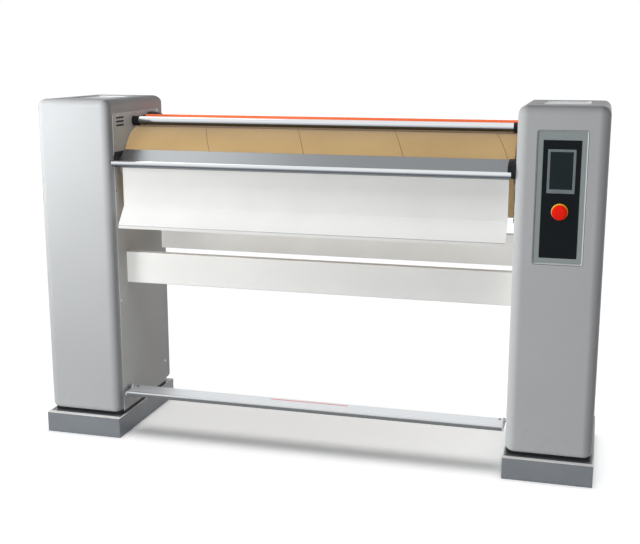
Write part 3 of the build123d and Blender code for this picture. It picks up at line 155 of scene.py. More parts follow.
# Noise values between which tones drift, scuffs come up and the cloth's flecks turn light.
NOISE_RANGE = (0.3, 0.7)
MARK_RANGE = (0.56, 0.66)
FLECK_RANGE = (0.35, 0.65)

# Share of the flecks in the cloth's colour.
FLECK_SHARE = 0.4

# Heights above the floor between which the scuffs fade out.
PILLAR_SCUFF_HEIGHTS = (0.08, 0.24)
PLINTH_SCUFF_HEIGHTS = (0.0, 0.03)

# Depths below the pedal's top between which its bright tone turns to the painted shade of its
# sides.
PEDAL_SHADE_DEPTHS = (0.001, 0.006)

# Z of the normal at which the chrome's painted shade starts, and at which it is full.
CHROME_SHADE_LEVELS = (0.22, -0.35)

# Sockets of a Mix node that is set to colours.
MIX_SHARE, MIX_FIRST, MIX_SECOND, MIX_RESULT = 0, 6, 7, 2

# ---------------------------------------------------------------- sizes of what is added
SHARP_ANGLE = 32
SLEEVE_EDGE_STEPS = 5
SLEEVE_SHARP_ANGLE = 60
COVER_SEGMENTS = 144
COVER_STEP = 0.02
PADDING_SEGMENTS = 72
PADDING_STEP = 0.03
LAYER_GAP = 0.0001
COVER_STRIP_PITCH = 0.300
COVER_SEAM_PHASE = -0.3194
COVER_SEAM_ANGLE = math.radians(27.8)
COVER_SEAM_PROFILE = (
    (-0.0011, -0.0003), (-0.0009, 0.00012), (0.0, 0.00025), (0.0009, 0.00012),
    (0.0011, -0.0003),
)
COVER_EDGE_RADIUS = 0.0018
PADDING_EDGE_RADIUS = 0.003

BLANKET_INNER_RADIUS = 0.1502
BLANKET_THICKNESS = 0.0146
BLANKET_ANGLES = (-20.6, 56.6)
BLANKET_PATCH = 0.084
BLANKET_PATCHES_ROUND = 3
BLANKET_PINCH = 0.0035
BLANKET_FULLNESS = 0.35
BLANKET_EDGE_DENT = 0.36
BLANKET_SHARP_ANGLE = 60
BLANKET_STEPS = 6

# Sizes of the pale strip on each plinth's ledge, a painted highlight of the ledge's lit edge.
RIM_HEIGHT = 0.0008
RIM_CHAMFER = 0.0004
RIM_INSET = 0.0003
RIM_FRONT_WIDTH = 0.0175
RIM_SIDE_WIDTH = 0.0042

# Sizes and place of the pale strip that is a painted highlight on each side panel's edge.
SEAM_HIGHLIGHT_WIDTH = 0.0012
SEAM_HIGHLIGHT_PROUD = 0.0006
SEAM_HIGHLIGHT_BEVEL = 0.0002
SEAM_HIGHLIGHT_Y = -0.1684
SEAM_HIGHLIGHT_HEIGHTS = (0.078, 1.02)

# Low and high X, low and high Z of the opening in the right pillar.
PANEL_HOLE = (0.664, 0.802, 0.635, 1.006)
PANEL_HOLE_RADIUS = 0.008
PANEL_SLOPE_GAP = 0.0013
PANEL_SLOPE_LIP = 0.0004
PANEL_SLOPE_WIDTH = 0.0045
PANEL_SLOPE_DEPTH = (-0.1978, -0.1923)
PANEL_CORNER_STEPS = 8

# Place and size of the grey strip along the apron's fold, painted shade of its crease.
CREASE_Y = -0.1972
CREASE_HEIGHT = 0.0014
CREASE_PROUD = 0.0004
CREASE_Z = 0.6885
CREASE_INSET = 0.001
CREASE_BEVEL = 0.0003

STRIPE_ENDS = (-0.128, 0.122)
STRIPE_Y = -0.120
STRIPE_WIDTH = 0.0035
STRIPE_PROUD = 0.0003
STRIPE_BEVEL = 0.0002
PEDAL_SCREW_RADIUS = 0.0042
PEDAL_SCREW_INSET = 0.012
PEDAL_SCREW_Y = -0.112
PEDAL_SCREW_HEIGHT = 0.0009
PEDAL_SCREW_TURNS = 24
PEDAL_SCREW_PROFILE = ((1.0, -0.4), (1.0, 0.3), (0.8, 1.0), (0.45, 1.0), (0.4, 0.2))

STOP_TURNS = 96
STOP_SHARP_ANGLE = 40
STOP_HEAD_RADIUS = 0.0212
STOP_HEAD_PROFILE = (
    (0.62, 0.0), (0.9, 0.0), (0.97, 0.08), (1.0, 0.22), (1.0, 0.5), (0.985, 0.72),
    (0.94, 0.88), (0.86, 0.96), (0.7, 0.99), (0.35, 1.0),
)
STOP_GRIP_LOBES = 24
STOP_GRIP_DEPTH = 0.00025
STOP_GRIP_STARTS = 0.95
STOP_COLLAR_RADIUS = 0.0228
STOP_COLLAR_PROFILE = (
    (0.56, 0.0), (1.0, 0.0), (1.0, 0.55), (0.975, 0.8), (0.93, 0.97), (0.87, 1.0),
    (0.74, 1.0), (0.66, 0.9), (0.6, 0.6), (0.56, 0.55),
)


# ---------------------------------------------------------------- materials
class Finish:
    """A procedural material, built up from the object's own coordinates."""

    def __init__(self, name, colour, roughness, metallic=0.0):
        self.material = bpy.data.materials.new(name)
        self.material.use_nodes = True
        self.tree = self.material.node_tree
        self.shader = self.tree.nodes["Principled BSDF"]
        self.shader.inputs["Base Color"].default_value = (*colour, 1.0)
        self.shader.inputs["Roughness"].default_value = roughness
        self.shader.inputs["Metallic"].default_value = metallic
        self.material.diffuse_color = (*colour, 1.0)
        self.colour = colour
        self.coordinates = self.node("ShaderNodeTexCoord").outputs["Object"]
        self.normal = None

    def node(self, kind, **values):
        """New shader node with the given settings."""
        node = self.tree.nodes.new(kind)
        for key, value in values.items():
            setattr(node, key, value)
        return node

    def join(self, source, target):
        self.tree.links.new(source, target)

    def stretched(self, scale):
        """The object's coordinates, scaled along each axis."""
        mapping = self.node("ShaderNodeMapping")
        mapping.inputs["Scale"].default_value = scale
        self.join(self.coordinates, mapping.inputs["Vector"])
        return mapping.outputs["Vector"]

    def noise(self, scale, detail, stretch=(1.0, 1.0, 1.0)):
        """Noise over the piece, squeezed along an axis where its stretch is large."""
        node = self.node("ShaderNodeTexNoise")
        node.inputs["Scale"].default_value = scale
        node.inputs["Detail"].default_value = detail
        self.join(self.stretched(stretch), node.inputs["Vector"])
        return node.outputs["Fac"]

    def ramp(self, factor, places, colours):
        """Colour that goes from the first to the second as the factor passes two places."""
        node = self.node("ShaderNodeValToRGB")
        for element, place, colour in zip(node.color_ramp.elements, places, colours):
            element.position = place
            element.color = (*colour, 1.0)
        self.join(factor, node.inputs["Fac"])
        return node.outputs["Color"]

    def shade(self, factor, spread):
        """Colour that drifts by the given share either side of the base colour."""
        low = [c * (1 - spread) for c in self.colour]
        high = [min(1.0, c * (1 + spread)) for c in self.colour]
        colour = self.ramp(factor, NOISE_RANGE, (low, high))
        self.join(colour, self.shader.inputs["Base Color"])
        return colour

    def feed(self, value, socket):
        """Put a number, a colour or the output of another node into a socket."""
        if isinstance(value, float):
            socket.default_value = value
        elif isinstance(value, tuple):
            socket.default_value = (*value, 1.0)
        else:
            self.join(value, socket)

    def mixed(self, share, first, second):
        """Blend of two colours, all of it the first at a share of 0."""
        node = self.node("ShaderNodeMix", data_type="RGBA")
        self.feed(share, node.inputs[MIX_SHARE])
        self.feed(first, node.inputs[MIX_FIRST])
        self.feed(second, node.inputs[MIX_SECOND])
        return node.outputs[MIX_RESULT]

    def mapped(self, factor, levels, ends=(0.0, 1.0)):
        """Value that goes from one end to the other as the factor passes two levels."""
        node = self.node("ShaderNodeMapRange")
        node.inputs["From Min"].default_value, node.inputs["From Max"].default_value = levels
        node.inputs["To Min"].default_value, node.inputs["To Max"].default_value = ends
        self.join(factor, node.inputs["Value"])
        return node.outputs["Result"]

    def rough(self, factor, low, high):
        """Roughness that drifts between two values."""
        self.join(self.mapped(factor, NOISE_RANGE, (low, high)), self.shader.inputs["Roughness"])

    def bump(self, height, distance, strength=1.0):
        """Fine relief on top of any that is there already."""
        node = self.node("ShaderNodeBump")
        node.inputs["Strength"].default_value = strength
        node.inputs["Distance"].default_value = distance
        self.join(height, node.inputs["Height"])
        if self.normal:
            self.join(self.normal, node.inputs["Normal"])
        self.normal = node.outputs["Normal"]
        self.join(self.normal, self.shader.inputs["Normal"])

    def worn(self, base, colour, heights, amount, scale, stretch):
        """Lighter or darker marks that fade out from the first height to the second."""
        parts = self.node("ShaderNodeSeparateXYZ")
        self.join(self.coordinates, parts.inputs[0])
        both = self.node("ShaderNodeMath", operation="MULTIPLY")
        self.join(self.mapped(parts.outputs["Z"], heights, (amount, 0.0)), both.inputs[0])
        marks = self.mapped(self.noise(scale, 8.0, stretch), MARK_RANGE)
        self.join(marks, both.inputs[1])
        toned = self.mixed(both.outputs[0], base, colour)
        self.join(toned, self.shader.inputs["Base Color"])

    def graded(self, source, levels, upper, lower):
        """From one tone to another as the Z of a place or of a normal passes two levels."""
        parts = self.node("ShaderNodeSeparateXYZ")
        self.join(self.node("ShaderNodeTexCoord").outputs[source], parts.inputs[0])
        toned = self.mixed(self.mapped(parts.outputs["Z"], levels), upper, lower)
        self.join(toned, self.shader.inputs["Base Color"])

    def set(self, **values):
        """Set shader inputs by their names, with _ for a space."""
        for key, value in values.items():
            self.shader.inputs[key.replace("_", " ")].default_value = value


def painted(name, colour, roughness, metallic=0.0, grain=0.00004, specular=0.3):
    """Powder-coated or lacquered sheet: fine orange peel, slight drift of tone."""
    finish = Finish(name, colour, roughness, metallic)
    finish.shade(finish.noise(7.0, 4.0), 0.025)
    finish.rough(finish.noise(28.0, 5.0), roughness * 0.93, roughness * 1.08)
    finish.bump(finish.noise(900.0, 2.0), grain)
    finish.set(Specular_IOR_Level=specular)
    return finish.material


def shell_paint():
    """Satin paint of the pillars, with faint marks low down."""
    finish = Finish("pillar_grey", PILLAR, 0.34)
    tone = finish.shade(finish.noise(5.0, 5.0), 0.02)
    finish.worn(tone, PILLAR_SCUFF, PILLAR_SCUFF_HEIGHTS, 0.35, 34.0, (1.0, 1.0, 2.5))
    finish.rough(finish.noise(24.0, 6.0), 0.31, 0.38)
    finish.bump(finish.noise(3.0, 2.0), 0.0006, 0.5)
    finish.bump(finish.noise(850.0, 2.0), 0.00004)
    finish.set(Specular_IOR_Level=0.05)
    return finish.material


def plinth_paint():
    """Dark metallic paint of the plinths, scuffed by shoes near the floor."""
    finish = Finish("plinth_grey", PLINTH, 0.3, PLINTH_METALLIC)
    tone = finish.shade(finish.noise(9.0, 5.0, (1.0, 1.0, 3.0)), 0.04)
    finish.worn(tone, PLINTH_SCUFF, PLINTH_SCUFF_HEIGHTS, 0.3, 240.0, (0.3, 0.3, 3.0))
    finish.rough(finish.noise(40.0, 4.0), 0.29, 0.34)
    finish.bump(finish.noise(700.0, 2.0), 0.00003)
    return finish.material


def brushed(name, colour, roughness, direction=ALONG_THE_ROLL):
    """Brushed or drawn metal, its lines along the axis with the small scale."""
    finish = Finish(name, colour, roughness, 1.0)
    lines = finish.noise(BRUSH_SCALE, 6.0, direction)
    finish.shade(lines, 0.05)
    finish.rough(lines, roughness * 0.82, roughness * 1.2)
    finish.bump(lines, 0.00002, 0.6)
    return finish.material


def moulded(name, colour, roughness, grain=0.00006, specular=0.5):
    """Moulded plastic with a fine spark-eroded grain."""
    finish = Finish(name, colour, roughness)
    finish.shade(finish.noise(40.0, 3.0), 0.08)
    finish.rough(finish.noise(60.0, 4.0), roughness * 0.9, roughness * 1.12)
    finish.bump(finish.noise(1600.0, 2.0), grain)
    finish.set(Specular_IOR_Level=specular)
    return finish.material


def chrome():
    """Bright chrome with painted shade on the side that faces down, as the photograph shows it.
    """
    finish = Finish("guard_chrome", CHROME, 0.14, 1.0)
    lines = finish.noise(BRUSH_SCALE, 6.0, ALONG_THE_ROLL)
    finish.graded("Normal", CHROME_SHADE_LEVELS, finish.shade(lines, 0.02), CHROME_PAINTED_SHADE)
    finish.rough(lines, 0.11, 0.17)
    finish.bump(lines, 0.00001, 0.4)
    return finish.material


def shaded_pedal():
    """Drawn aluminium of the pedal: bright on top, with painted shade down its sides."""
    finish = Finish("pedal_aluminium", PEDAL_ALUMINIUM, 0.42, 1.0)
    lines = finish.noise(BRUSH_SCALE, 6.0, ALONG_THE_ROLL)
    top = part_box("pedal_bar")[1][2]
    levels = (top - PEDAL_SHADE_DEPTHS[0], top - PEDAL_SHADE_DEPTHS[1])
    finish.graded("Object", levels, finish.shade(lines, 0.03), PEDAL_SIDE_SHADE)
    finish.rough(lines, 0.35, 0.5)
    finish.bump(lines, 0.00002, 0.6)
    return finish.material


def fibrous(name, colour, spread=0.15):
    """Felt or mineral wool."""
    finish = Finish(name, colour, 0.95)
    fibres = finish.noise(260.0, 8.0, (1.0, 3.0, 1.0))
    finish.shade(fibres, spread)
    finish.bump(fibres, 0.0004)
    finish.set(Sheen_Weight=0.3, Sheen_Roughness=0.5)
    return finish.material


def roll_cloth(name="roll_cloth", light=CLOTH, dark=CLOTH_DARK):
    """Heat-proof needled cloth with a fine weave across the roll."""
    finish = Finish(name, light, 0.85)
    weave = finish.node("ShaderNodeTexWave", wave_type="BANDS", bands_direction="X")
    weave.inputs["Scale"].default_value = 190.0
    weave.inputs["Distortion"].default_value = 1.2
    weave.inputs["Detail"].default_value = 2.0
    finish.join(finish.coordinates, weave.inputs["Vector"])
    fibres = finish.noise(420.0, 6.0)
    ground = finish.ramp(finish.noise(6.0, 4.0), NOISE_RANGE, (dark, light))
    fleck = finish.ramp(fibres, FLECK_RANGE, (dark, light))
    cloth = finish.mixed(FLECK_SHARE, ground, fleck)
    finish.join(cloth, finish.shader.inputs["Base Color"])
    finish.bump(weave.outputs["Fac"], 0.00012, 0.6)
    finish.bump(fibres, 0.0003, 0.8)
    finish.set(Sheen_Weight=0.25, Sheen_Roughness=0.5)
    return finish.material


def display_screen():
    """Dark switched-off screen under a clear front."""
    finish = Finish("display_dark", DISPLAY, 0.12)
    finish.shade(finish.noise(3.0, 1.0), 0.25)
    finish.rough(finish.noise(90.0, 4.0), 0.1, 0.16)
    finish.set(Specular_IOR_Level=0.2)
    return finish.material


def make_materials():
    """One finish for each material slot of the record."""
    return {
        "plinth_grey": plinth_paint(),
        "pad_rubber": moulded("pad_rubber", RUBBER, 0.8, 0.0001),
        "structure_black": painted("structure_black", BLACK_PAINT, 0.5),
        "pillar_grey": shell_paint(),
        "inner_grey": painted("inner_grey", INNER_PANEL, 0.5, specular=0.2),
        "tray_grey": painted("tray_grey", TRAY_TONE_AND_HIGHLIGHT, 0.4, 0.1),
        "fastener_steel": brushed("fastener_steel", STEEL, 0.3),
        "apron_white": painted("apron_white", WHITE_PAINT, 0.45, specular=0.25),
        "roll_cloth": roll_cloth(),
        "roll_felt": fibrous("roll_felt", FELT),
        "machined_steel": brushed("machined_steel", STEEL, 0.28),
        "chain_steel": brushed("chain_steel", DARK_STEEL, 0.4, ALL_WAYS),
        "bearing_iron": painted("bearing_iron", CASTING, 0.6, grain=0.0002),
        "motor_grey": painted("motor_grey", MOTOR_PAINT, 0.5, grain=0.00015),
        "chest_aluminium": brushed("chest_aluminium", CHEST_METAL, 0.2),
        "insulation_wool": fibrous("insulation_wool", WOOL, 0.25),
        "hood_orange": painted("hood_orange", ORANGE, 0.42, specular=0.15),
        "cap_black": moulded("cap_black", BLACK_PLASTIC, 0.42, specular=0.12),
        "guard_chrome": chrome(),
        "feed_aluminium": brushed("feed_aluminium", ALUMINIUM, 0.34),
        "pedal_aluminium": shaded_pedal(),
        "panel_silver": brushed("panel_silver", PANEL_PLATE, 0.42, UPRIGHT),
        "fascia_black": moulded("fascia_black", FASCIA, 0.45, 0.00002, specular=0.12),
        "bezel_grey": moulded("bezel_grey", BEZEL, 0.4),
        "display_dark": display_screen(),
        "stop_yellow": moulded("stop_yellow", YELLOW, 0.4, 0.00002, specular=0.3),
        "stop_red": moulded("stop_red", RED, 0.38, 0.00002, specular=0.2),
        "contactor_grey": moulded("contactor_grey", RELAY, 0.5),
    }


def dress_nodes(frame, materials):
    """Give every carried-over CAD node the finish of its material slot."""
    for part in frame["record"]["subparts"]:
        node = frame["nodes"][part["node"]]
        finish = materials[BRIGHTER_NODES.get(part["node"], part["material_slot"])]
        node.data.materials.clear()
        node.data.materials.append(finish)


# ---------------------------------------------------------------- mesh helpers
def finished(name, mesh, material, body, sharp=SHARP_ANGLE):
    """Make a piece of a bmesh, smooth but for its sharp edges, and let it ride on a body."""
    bmesh.ops.recalc_face_normals(mesh, faces=mesh.faces)
    data = bpy.data.meshes.new(name)
    mesh.to_mesh(data)
    mesh.free()
    for polygon in data.polygons:
        polygon.use_smooth = True
    data.set_sharp_from_angle(angle=math.radians(sharp))
    data.materials.append(material)
    piece = bpy.data.objects.new(name, data)
    bpy.context.scene.collection.objects.link(piece)
    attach(piece, body)
    return piece


def bevelled_strip(mesh, low, high, bevel):
    """Add a flat strip between two corners, all of its edges eased."""
    made = bmesh.ops.create_cube(mesh, size=1.0)["verts"]
    low, high = Vector(low), Vector(high)
    for vertex in made:
        vertex.co = Vector(
            low[i] + (high[i] - low[i]) * (vertex.co[i] + 0.5) for i in range(3)
        )
    edges = {edge for vertex in made for edge in vertex.link_edges}
    bmesh.ops.bevel(
        mesh, geom=list(edges), offset=bevel, segments=2, profile=0.5, affect="EDGES"
    )


def join_loops(mesh, loops, closed=False):
    """Skin a run of rings that all have the same number of corners."""
    count = len(loops[0])
    following = loops[1:] + loops[:1] if closed else loops[1:]
    for first, second in zip(loops, following):
        for i in range(count):
            k = (i + 1) % count
            mesh.faces.new((first[i], first[k], second[k], second[i]))


def close_ends(mesh, loops):
    """Close the first and the last ring of a run with a face each."""
    mesh.faces.new(loops[0])
    mesh.faces.new(loops[-1])


def rounded_rectangle(low_x, high_x, low_z, high_z, radius, steps):
    """Corner-rounded outline as a list of (x, z)."""
    outline = []
    corners = (
        (high_x - radius, high_z - radius, 0),
        (low_x + radius, high_z - radius, 90),
        (low_x + radius, low_z + radius, 180),
        (high_x - radius, low_z + radius, 270),
    )
    for centre_x, centre_z, start in corners:
        for i in range(steps + 1):
            turn = math.radians(start + 90 * i / steps)
            x = centre_x + radius * math.cos(turn)
            z = centre_z + radius * math.sin(turn)
            outline.append((x, z))
    return outline


# ---------------------------------------------------------------- soft pieces
def sleeve_profile(low_x, high_x, edge, step):
    """Places along the roll, and how far the rounded ends drop below the surface there."""
    profile = []
    for i in range(SLEEVE_EDGE_STEPS + 1):
        turn = math.radians(90 * i / SLEEVE_EDGE_STEPS)
        profile.append((low_x + edge * (1 - math.sin(turn)), edge * (1 - math.cos(turn))))
    profile = profile[::-1]
    steps = max(1, round((high_x - low_x - 2 * edge) / step))
    middle = [
        (low_x + edge + (high_x - low_x - 2 * edge) * i / steps, 0.0) for i in range(1, steps)
    ]
    ends = [(low_x + high_x - x, drop) for x, drop in reversed(profile)]
    return profile + middle + ends


def make_sleeve(name, node, core, material, segments, step, edge):
    """Soft sleeve on the roll as one closed form, from its core out to its own node's size."""
    low, high = (Vector(corner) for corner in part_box(node))
    core_low, core_high = (Vector(corner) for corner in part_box(core))
    axis_y = (low.y + high.y) / 2
    axis_z = (low.z + high.z) / 2
    outer = (high.z - low.z) / 2
    inner = (core_high.z - core_low.z) / 2 + LAYER_GAP
    profile = [(x, outer - drop) for x, drop in sleeve_profile(low.x, high.x, edge, step)]
    mesh = bmesh.new()
    loops = []
    for x, radius in [(profile[0][0], inner)] + profile + [(profile[-1][0], inner)]:
        turns = (2 * math.pi * i / segments for i in range(segments))
        loops.append([
            mesh.verts.new((
                x,
                axis_y - radius * math.cos(turn),
                axis_z + radius * math.sin(turn),
            ))
            for turn in turns
        ])
    join_loops(mesh, loops, closed=True)
    sleeve = finished(name, mesh, material, "roll", SLEEVE_SHARP_ANGLE)
    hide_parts(node)


def make_cover_seam(material):
    """Lapped edge of the wound strip, one low ridge in a long spiral round the cloth."""
    low, high = (Vector(corner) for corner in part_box("roll_cover"))
    axis_y = (low.y + high.y) / 2
    axis_z = (low.z + high.z) / 2
    outer = (high.z - low.z) / 2
    reach = COVER_SEAM_PROFILE[-1][0] + COVER_EDGE_RADIUS
    step = 2 * math.pi / COVER_SEGMENTS
    per_step = COVER_STRIP_PITCH / COVER_SEGMENTS
    first = math.ceil((low.x + reach - COVER_SEAM_PHASE) / per_step)
    last = math.floor((high.x - reach - COVER_SEAM_PHASE) / per_step)
    mesh = bmesh.new()
    loops = []
    for i in range(first, last + 1):
        turn = COVER_SEAM_ANGLE - i * step
        loops.append([
            mesh.verts.new((
                COVER_SEAM_PHASE + i * per_step + along,
                axis_y - (outer + proud) * math.cos(turn),
                axis_z + (outer + proud) * math.sin(turn),
            ))
            for along, proud in COVER_SEAM_PROFILE
        ])
    join_loops(mesh, loops)
    close_ends(mesh, loops)
    finished("roll_cloth_seam", mesh, material, "roll", SLEEVE_SHARP_ANGLE)


def make_roll_dressing(materials):
    """Springy padding round the tube and the wound cloth over it."""
    make_sleeve(
        "roll_cloth_cover", "roll_cover", "roll_padding",
        materials["roll_cloth"], COVER_SEGMENTS, COVER_STEP, COVER_EDGE_RADIUS,
    )
    make_cover_seam(roll_cloth("roll_cloth_seam", SEAM, SEAM_DARK))
    make_sleeve(
        "roll_felt_padding", "roll_padding", "roll_tube",
        materials["roll_felt"], PADDING_SEGMENTS, PADDING_STEP, PADDING_EDGE_RADIUS,
    )


def make_chest_blanket(materials):
    """Quilted wool blanket behind the chest, pinched down along its stitched lines."""
    low, high = (Vector(corner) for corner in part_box("chest_insulation"))
    roll_low, roll_high = (Vector(corner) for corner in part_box("roll_cover"))
    axis_z = (roll_low.z + roll_high.z) / 2
    patches_long = round((high.x - low.x) / BLANKET_PATCH)
    columns = patches_long * BLANKET_STEPS
    rows = BLANKET_PATCHES_ROUND * BLANKET_STEPS
    first_angle, last_angle = (math.radians(angle) for angle in BLANKET_ANGLES)
    mesh = bmesh.new()

    def pinch(i, k):
        along = abs(math.sin(math.pi * i / BLANKET_STEPS))
        around = abs(math.sin(math.pi * k / BLANKET_STEPS))
        return BLANKET_PINCH * (1 - (along * around) ** BLANKET_FULLNESS)

    def point(i, k, share):
        x = low.x + (high.x - low.x) * i / columns
        angle = first_angle + (last_angle - first_angle) * k / rows
        at_edge = i in (0, columns) or k in (0, rows)
        dent = BLANKET_THICKNESS * BLANKET_EDGE_DENT if at_edge else pinch(i, k)
        centre = BLANKET_INNER_RADIUS + BLANKET_THICKNESS / 2
        radius = centre + share * (BLANKET_THICKNESS / 2 - dent)
        return mesh.verts.new((x, radius * math.cos(angle), axis_z + radius * math.sin(angle)))

    inner = [[point(i, k, -1) for k in range(rows + 1)] for i in range(columns + 1)]
    outer = [[point(i, k, 1) for k in range(rows + 1)] for i in range(columns + 1)]
    for i in range(columns):
        for k in range(rows):
            for side in (inner, outer):
                mesh.faces.new((side[i][k], side[i + 1][k], side[i + 1][k + 1], side[i][k + 1]))
    for i in range(columns):
        for k in (0, rows):
            mesh.faces.new((inner[i][k], inner[i + 1][k], outer[i + 1][k], outer[i][k]))
    for k in range(rows):
        for i in (0, columns):
            mesh.faces.new((inner[i][k], inner[i][k + 1], outer[i][k + 1], outer[i][k]))
    blanket = finished(
        "chest_blanket", mesh, materials["insulation_wool"], "chest",
        BLANKET_SHARP_ANGLE,
    )
    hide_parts("chest_insulation")


# ---------------------------------------------------------------- small trim
def make_plinth_highlights(materials):
    """Pale strip on the ledge of each plinth, outside the rubber pads, a painted highlight along
    the ledge's edge.
    """
    for side in ("left", "right"):
        low, high = (Vector(corner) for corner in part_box(side + "_plinth"))
        mesh = bmesh.new()

        def ring(inset_x, inset_y, z):
            corners = (
                (low.x + inset_x, low.y + inset_y),
                (high.x - inset_x, low.y + inset_y),
                (high.x - inset_x, high.y - inset_y),
                (low.x + inset_x, high.y - inset_y),
            )
            return [mesh.verts.new((x, y, z)) for x, y in corners]

        eased = RIM_INSET + RIM_CHAMFER
        loops = [
            ring(RIM_INSET, RIM_INSET, high.z),
            ring(RIM_INSET, RIM_INSET, high.z + RIM_HEIGHT - RIM_CHAMFER),
            ring(eased, eased, high.z + RIM_HEIGHT),
            ring(RIM_SIDE_WIDTH, RIM_FRONT_WIDTH, high.z + RIM_HEIGHT),
            ring(RIM_SIDE_WIDTH, RIM_FRONT_WIDTH, high.z),
        ]
        join_loops(mesh, loops, closed=True)
        finished(side + "_plinth_highlight", mesh, materials["apron_white"], "frame")


def make_seam_highlights(materials):
    """Pale strip on the side panel's edge where it meets the rounded shell, a painted highlight
    of that edge.
    """
    for side, sign in (("left", -1), ("right", 1)):
        low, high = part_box(side + "_inner_panel")
        face = max(low[0], high[0]) if sign < 0 else min(low[0], high[0])
        near, far = sorted((face, face - sign * SEAM_HIGHLIGHT_PROUD))
        mesh = bmesh.new()
        bevelled_strip(
            mesh,
            (near, SEAM_HIGHLIGHT_Y, SEAM_HIGHLIGHT_HEIGHTS[0]),
            (far, SEAM_HIGHLIGHT_Y + SEAM_HIGHLIGHT_WIDTH, SEAM_HIGHLIGHT_HEIGHTS[1]),
            SEAM_HIGHLIGHT_BEVEL,
        )
        finished(side + "_seam_highlight", mesh, materials["apron_white"], "frame")


def make_panel_slope(materials):
    """Sloping edge that leads from the pillar's face down to the control plate."""
    low_x, high_x, low_z, high_z = PANEL_HOLE
    mesh = bmesh.new()

    def ring(inset, y):
        outline = rounded_rectangle(
            low_x + inset, high_x - inset, low_z + inset, high_z - inset,
            PANEL_HOLE_RADIUS - inset, PANEL_CORNER_STEPS,
        )
        return [mesh.verts.new((x, y, z)) for x, z in outline]

    front_y, back_y = PANEL_SLOPE_DEPTH
    loops = [
        ring(PANEL_SLOPE_GAP, front_y),
        ring(PANEL_SLOPE_GAP + PANEL_SLOPE_LIP, front_y),
        ring(PANEL_SLOPE_WIDTH, back_y),
        ring(PANEL_SLOPE_GAP, back_y),
    ]
    join_loops(mesh, loops, closed=True)
    finished("control_slope", mesh, materials["pillar_grey"], "frame")


def make_fold_shade_strip(materials):
    """Grey strip along the fold of the apron's lip, painted shade of its crease."""
    low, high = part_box("apron")
    mesh = bmesh.new()
    bevelled_strip(
        mesh,
        (low[0] + CREASE_INSET, CREASE_Y - CREASE_PROUD, CREASE_Z),
        (high[0] - CREASE_INSET, CREASE_Y + CREASE_PROUD, CREASE_Z + CREASE_HEIGHT),
        CREASE_BEVEL,
    )
    finished("apron_fold_shade", mesh, materials["contactor_grey"], "frame")


def make_pedal_trim(materials):
    """Red inlay along the middle of the pedal, and a sunk screw at either end."""
    low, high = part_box("pedal_bar")
    mesh = bmesh.new()
    bevelled_strip(
        mesh,
        (STRIPE_ENDS[0], STRIPE_Y, high[2] - STRIPE_PROUD),
        (STRIPE_ENDS[1], STRIPE_Y + STRIPE_WIDTH, high[2] + STRIPE_PROUD),
        STRIPE_BEVEL,
    )
    finished("pedal_stripe", mesh, materials["stop_red"], "pedal")
    for name, x in (
        ("left_pedal_screw", low[0] + PEDAL_SCREW_INSET),
        ("right_pedal_screw", high[0] - PEDAL_SCREW_INSET),
    ):
        mesh = bmesh.new()
        loops = []
        for share, rise in PEDAL_SCREW_PROFILE:
            radius = PEDAL_SCREW_RADIUS * share
            turns = (2 * math.pi * i / PEDAL_SCREW_TURNS for i in range(PEDAL_SCREW_TURNS))
            loops.append([
                mesh.verts.new((
                    x + radius * math.cos(turn),
                    PEDAL_SCREW_Y + radius * math.sin(turn),
                    high[2] + PEDAL_SCREW_HEIGHT * rise,
                ))
                for turn in turns
            ])
        join_loops(mesh, loops)
        close_ends(mesh, loops)
        finished(name, mesh, materials["structure_black"], "pedal")


def turned(name, node, profile, radius, lobes, depth, material, body, closed):
    """Turned piece in place of a node: profile as shares of its radius and its length."""
    low, high = (Vector(corner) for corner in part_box(node))
    centre_x, centre_z = (low.x + high.x) / 2, (low.z + high.z) / 2
    mesh = bmesh.new()
    loops = []
    for share, forward in profile:
        loop = []
        for i in range(STOP_TURNS):
            turn = 2 * math.pi * i / STOP_TURNS
            grip = depth * (1 - math.cos(lobes * turn)) if share > STOP_GRIP_STARTS else 0.0
            reach = radius * share - grip
            y = high.y - (high.y - low.y) * forward
            place = (centre_x + reach * math.cos(turn), y, centre_z + reach * math.sin(turn))
            loop.append(mesh.verts.new(place))
        loops.append(loop)
    join_loops(mesh, loops, closed=closed)
    if not closed:
        close_ends(mesh, loops)
    piece = finished(name, mesh, material, body, STOP_SHARP_ANGLE)
    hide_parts(node)


def make_emergency_stop(materials):
    """Yellow collar with an eased edge and a red mushroom head with a ribbed grip."""
    turned(
        "stop_collar_ring", "estop_collar", STOP_COLLAR_PROFILE, STOP_COLLAR_RADIUS,
        0, 0.0, materials["stop_yellow"], "frame", True,
    )
    turned(
        "stop_mushroom", "estop_head", STOP_HEAD_PROFILE, STOP_HEAD_RADIUS,
        STOP_GRIP_LOBES, STOP_GRIP_DEPTH, materials["stop_red"], "stop_head", False,
    )


# ---------------------------------------------------------------- stage
def seen_by(tree, rays):
    """Share that is 1 where a ray of the named kinds meets the surface, 0 for other rays."""
    path = tree.nodes.new("ShaderNodeLightPath")
    total = path.outputs[rays[0]]
    for ray in rays[1:]:
        largest = tree.nodes.new("ShaderNodeMath")
        largest.operation = "MAXIMUM"
        tree.links.new(total, largest.inputs[0])
        tree.links.new(path.outputs[ray], largest.inputs[1])
        total = largest.outputs[0]
    return total


